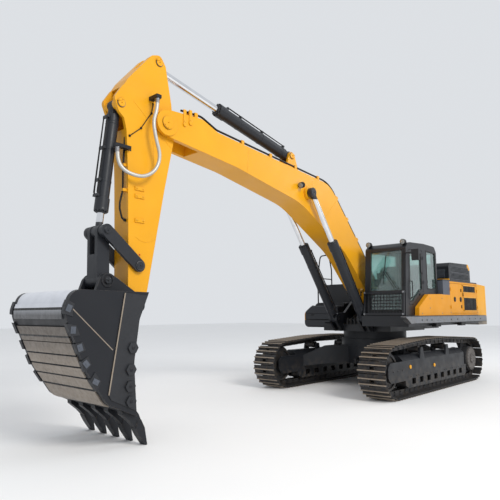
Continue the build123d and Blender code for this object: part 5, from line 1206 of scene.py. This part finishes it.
def build_house_details():
    walk, dark, bolts, box, rim = meshes(5)
    # Black discs stand for the catwalk's holes: painted shade in the openings
    for x in CATWALK_HOLES:
        add_disc(dark, (x, CATWALK_Y - 0.004, 1.555), LEFT, 0.020, 0.006, 20)
    for x in CATWALK_BOLTS:
        add_bolt(bolts, (x, CATWALK_Y, 1.545), LEFT, 0.014, 0.012)
    edge_y = CATWALK_Y - 0.008
    add_bar(walk, (1.765, edge_y, 1.636), (-2.98, edge_y, 1.636), 0.016, 0.010, LEFT)
    add_bar(walk, (1.53, edge_y, 1.486), (-2.99, edge_y, 1.486), 0.016, 0.014, LEFT)
    # Black discs for the holes in the walking surface: painted shade
    for index in range(46):
        x = 1.62 - index * 0.098
        for row in range(2):
            add_disc(dark, (x - 0.049 * row, 1.640 + 0.045 * row, 1.637), UP, 0.013, 0.0045, 10)
    for x in (0.02, -1.48):
        add_box(dark, (x, 1.60, 1.40), (x + 0.26, 1.705, 1.482))
    for x, z in HOUSE_BOLTS:
        add_bolt(bolts, (x, HOUSE_HALF, z), LEFT, 0.011, 0.008)
    for x, z in DOOR_BOLTS:
        add_bolt(bolts, (x, HOUSE_HALF, z), LEFT, 0.010, 0.007)
    for y in (-1.36, -0.78):
        add_box(box, (0.798, y, 1.655), (0.806, y + 0.09, 1.690))
    add_box(box, (0.772, -1.42, 1.541), (0.781, -0.64, 1.559))
    for y in (-1.45, -1.05, -0.66):
        add_disc(box, (0.52, y, 1.904), AHEAD, 0.011, 0.09, 12)
    add_round(rim, (-2.20, -1.00, 2.880), UP, [(-0.008, 0.083), (0.004, 0.083), (0.004, 0.070)], 32)
    add_tube(rim, [(-2.20, -1.0, 2.80), (-2.20, -1.0, 2.86)], 0.072, 24)
    finish_piece(walk, "catwalk_edges", "silver", "house", 0.002)
    finish_piece(dark, "catwalk_holes", "black", "house")
    finish_piece(bolts, "house_bolts", "silver", "house", 0.001, True)
    finish_piece(box, "toolbox_trim", "black", "house", 0.003)
    finish_piece(rim, "exhaust_rim", "black", "house", 0.0, True)


# Hood: slats in front, dark backs behind its grilles as painted shade in the openings, trim lines
def build_hood_details():
    slats, dark, edge = meshes(3)
    for y_low, y_high in ((-0.44, -0.10), (0.02, 0.56), (0.68, 1.30)):
        add_box(slats, (-1.367, y_low, 2.60), (-1.360, y_high, 2.82))
        for index in range(7):
            z = 2.62 + index * 0.03
            add_bar(slats, (-1.357, y_low + 0.01, z), (-1.357, y_high - 0.01, z), 0.014, 0.004, (1, 0, -0.6))
    for y in (0.3, 0.6):
        add_box(slats, (-2.3, y - 0.02, 3.019), (-1.7, y + 0.02, 3.026))
    # Black strips behind the grille openings: painted shade
    for y in (1.383, -0.508):
        for low in (2.575, 2.755):
            for index in range(4):
                z = low + 0.024 + index * 0.033
                add_box(dark, (-2.722, y, z - 0.012), (-1.494, y + 0.005, z + 0.012))
    for y in (1.399, -0.526):
        for z in (2.566, 2.741, 2.921):
            add_box(edge, (-2.745, y, z - 0.006), (-1.471, y + 0.007, z + 0.006))
    add_disc(edge, (-1.72, 1.400, 2.70), LEFT, 0.018, 0.012)
    finish_piece(slats, "hood_front_slats", "hood", "engine_hood", 0.001)
    finish_piece(dark, "hood_grille_backs", "black", "engine_hood")
    finish_piece(edge, "hood_trim", "hood", "engine_hood", 0.001)


# Hydraulic block and hose elbows on the deck between the boom's ears
def build_valve_block():
    block, silver, hoses = meshes(3)
    add_box(block, (0.24, -0.235, 1.459), (0.60, 0.235, 1.585))
    add_box(block, (0.86, -0.20, 1.459), (0.97, 0.20, 1.53))
    for row, x in enumerate((0.30, 0.42, 0.54)):
        for index in range(4):
            y = -0.18 + index * 0.12 + (0.02 if row % 2 else 0.0)
            add_round(silver, (x, y, 1.583), UP, [(0, 0.024), (0.03, 0.024), (0.034, 0.018)], 6)
            elbow = ((0.0, 1.61), (0.01, 1.645), (0.045, 1.660), (0.10, 1.640), (0.125, 1.600))
            add_tube(hoses, [(x + step, y, z) for step, z in elbow], 0.018, 12)
    for y in (-0.15, -0.05, 0.05, 0.15):
        add_tube(silver, [(0.90, y, 1.525), (0.915, y, 1.575), (0.945, y, 1.59)], 0.015, 12)
        bend = ((0.945, 1.59), (0.985, 1.585), (1.01, 1.55), (1.01, 1.49), (0.99, 1.44))
        add_tube(hoses, [(x, y, z) for x, z in bend], 0.018, 12)
    finish_piece(block, "valve_block", "black", "house", 0.004)
    finish_piece(silver, "valve_fittings", "silver", "house", 0.001, True)
    finish_piece(hoses, "valve_hose_elbows", "rubber", "house", 0.0, True)


# Bucket: pale weld seams on the sides, bolts, and pads on the corner shrouds, whose blue-grey is a painted
# highlight
SHROUD_PLACES = [(8.217, 0.895), (8.352, 1.119), (8.441, 1.314), (8.538, 1.526), (8.602, 1.784)]
CUTTER_BOLTS = [(7.700, 1.276), (7.722, 0.999), (7.728, 0.790), (7.712, 0.600)]
TOOTH_PITCH = 0.3225


def build_bucket_details():
    seams, bosses, pads = meshes(3)
    for sign in BOTH_SIDES:
        axis = (0, sign, 0)
        outer, inner = sign * 0.7605, sign * 0.7495
        add_bar(seams, (7.829, outer, 1.985), (8.031, outer, 0.712), 0.018, 0.007, (1, 0, 0.16))
        add_bar(seams, (8.600, inner, 1.822), (7.985, inner, 1.262), 0.012, 0.006, (0.67, 0, -0.74))
        add_round(seams, (7.93, sign * 0.749, 1.285), axis, [(0, 0.020), (0.008, 0.020), (0.012, 0.012)], 20)
        for x, z in CUTTER_BOLTS:
            add_round(bosses, (x, sign * 0.7865, z), axis, [(0, 0.026), (0.006, 0.026), (0.009, 0.020)], 6)
        for index in range(5):
            y = (index - 2) * TOOTH_PITCH
            add_disc(bosses, (7.545, y + sign * 0.0535, 0.318), axis, 0.020, 0.006)
        for x, z in (BUCKET_PIN, BUCKET_LINK_PIN):
            add_ring(bosses, (x, sign * 0.245, z), axis, 0.078, [(0, 0.102), (0.010, 0.098)])
        for x, z in SHROUD_PLACES:
            place = Vector((x, sign * 0.7635, z))
            outward = Vector((x - BUCKET_MIDDLE[0], 0, z - BUCKET_MIDDLE[1])).normalized()
            across = Vector((outward.z, 0, -outward.x))
            add_bar(pads, place - outward * 0.030, place + outward * 0.036, 0.085, 0.008, across)
            add_bar(pads, place - outward * 0.012, place + outward * 0.012, 0.045, 0.016, across)
    finish_piece(seams, "bucket_seams", "tip", "bucket", 0.001)
    finish_piece(bosses, "bucket_bolts", "bucket", "bucket", 0.001, True)
    finish_piece(pads, "shroud_pads", "pad", "bucket", 0.002)


# Undercarriage: hub and idler bolts, roller caps, guard bolts and grease covers
BOLT_CIRCLES = [
    # x, radius, distance out from the track's middle, count, bolt's radius and height
    (-TUMBLER_X, 0.262, 0.199, 20, 0.011, 0.012),
    (-TUMBLER_X, 0.098, 0.217, 8, 0.009, 0.012),
    (-TUMBLER_X, 0.295, 0.149, 24, 0.010, 0.012),
    (TUMBLER_X, 0.088, 0.1245, 8, 0.010, 0.010),
]
GUARD_REACH = 0.189


def build_undercarriage_details():
    for side_name, centre_y, outward in (("left", TRACK_Y, 1), ("right", -TRACK_Y, -1)):
        bm, yellow = meshes(2)
        axis = (0, outward, 0)
        for x, radius, reach, count, size, height in BOLT_CIRCLES:
            centre = Vector((x, centre_y + outward * reach, AXLE_Z))
            for place in circle(centre, Vector(AHEAD), Vector(UP), radius, count):
                add_bolt(bm, place, axis, size, height)
        guard_y = centre_y + outward * GUARD_REACH
        for index in range(9):
            x = -1.560 + 0.370 * index
            add_disc(bm, (x, centre_y + outward * 0.1495, 0.2599), axis, 0.030, 0.010)
            for step in (-0.06, 0.06):
                add_bolt(bm, (x + step, guard_y, 0.400), axis, 0.013, 0.012)
        for x in (1.72, 1.92, 2.12):
            add_bolt(bm, (x, guard_y, 0.55), axis, 0.016, 0.014)
        add_bolt(bm, (-1.60, guard_y, 0.62), axis, 0.014, 0.012)
        cover = [(0, 0.040), (0.014, 0.040), (0.018, 0.034)]
        for x, z in ((1.372, 0.594), (0.166, 0.544)):
            add_round(yellow, (x, centre_y + outward * 0.188, z), axis, cover)
        finish_piece(bm, f"undercarriage_bolts_{side_name}", "grey", "undercarriage", 0.001, True)
        finish_piece(yellow, f"grease_covers_{side_name}", "yellow", "undercarriage", 0.0, True)


def main():
    make_camera()
    make_stage()
    dress_nodes()
    for side_name, centre_y in (("left", TRACK_Y), ("right", -TRACK_Y)):
        build_track(side_name, centre_y)
    build_hose()
    build_pin_caps()
    build_cylinder_fittings()
    build_arm_details()
    build_boom_details()
    build_cab_details()
    build_seat()
    build_door_details()
    build_house_details()
    build_hood_details()
    build_valve_block()
    build_bucket_details()
    build_undercarriage_details()


main()
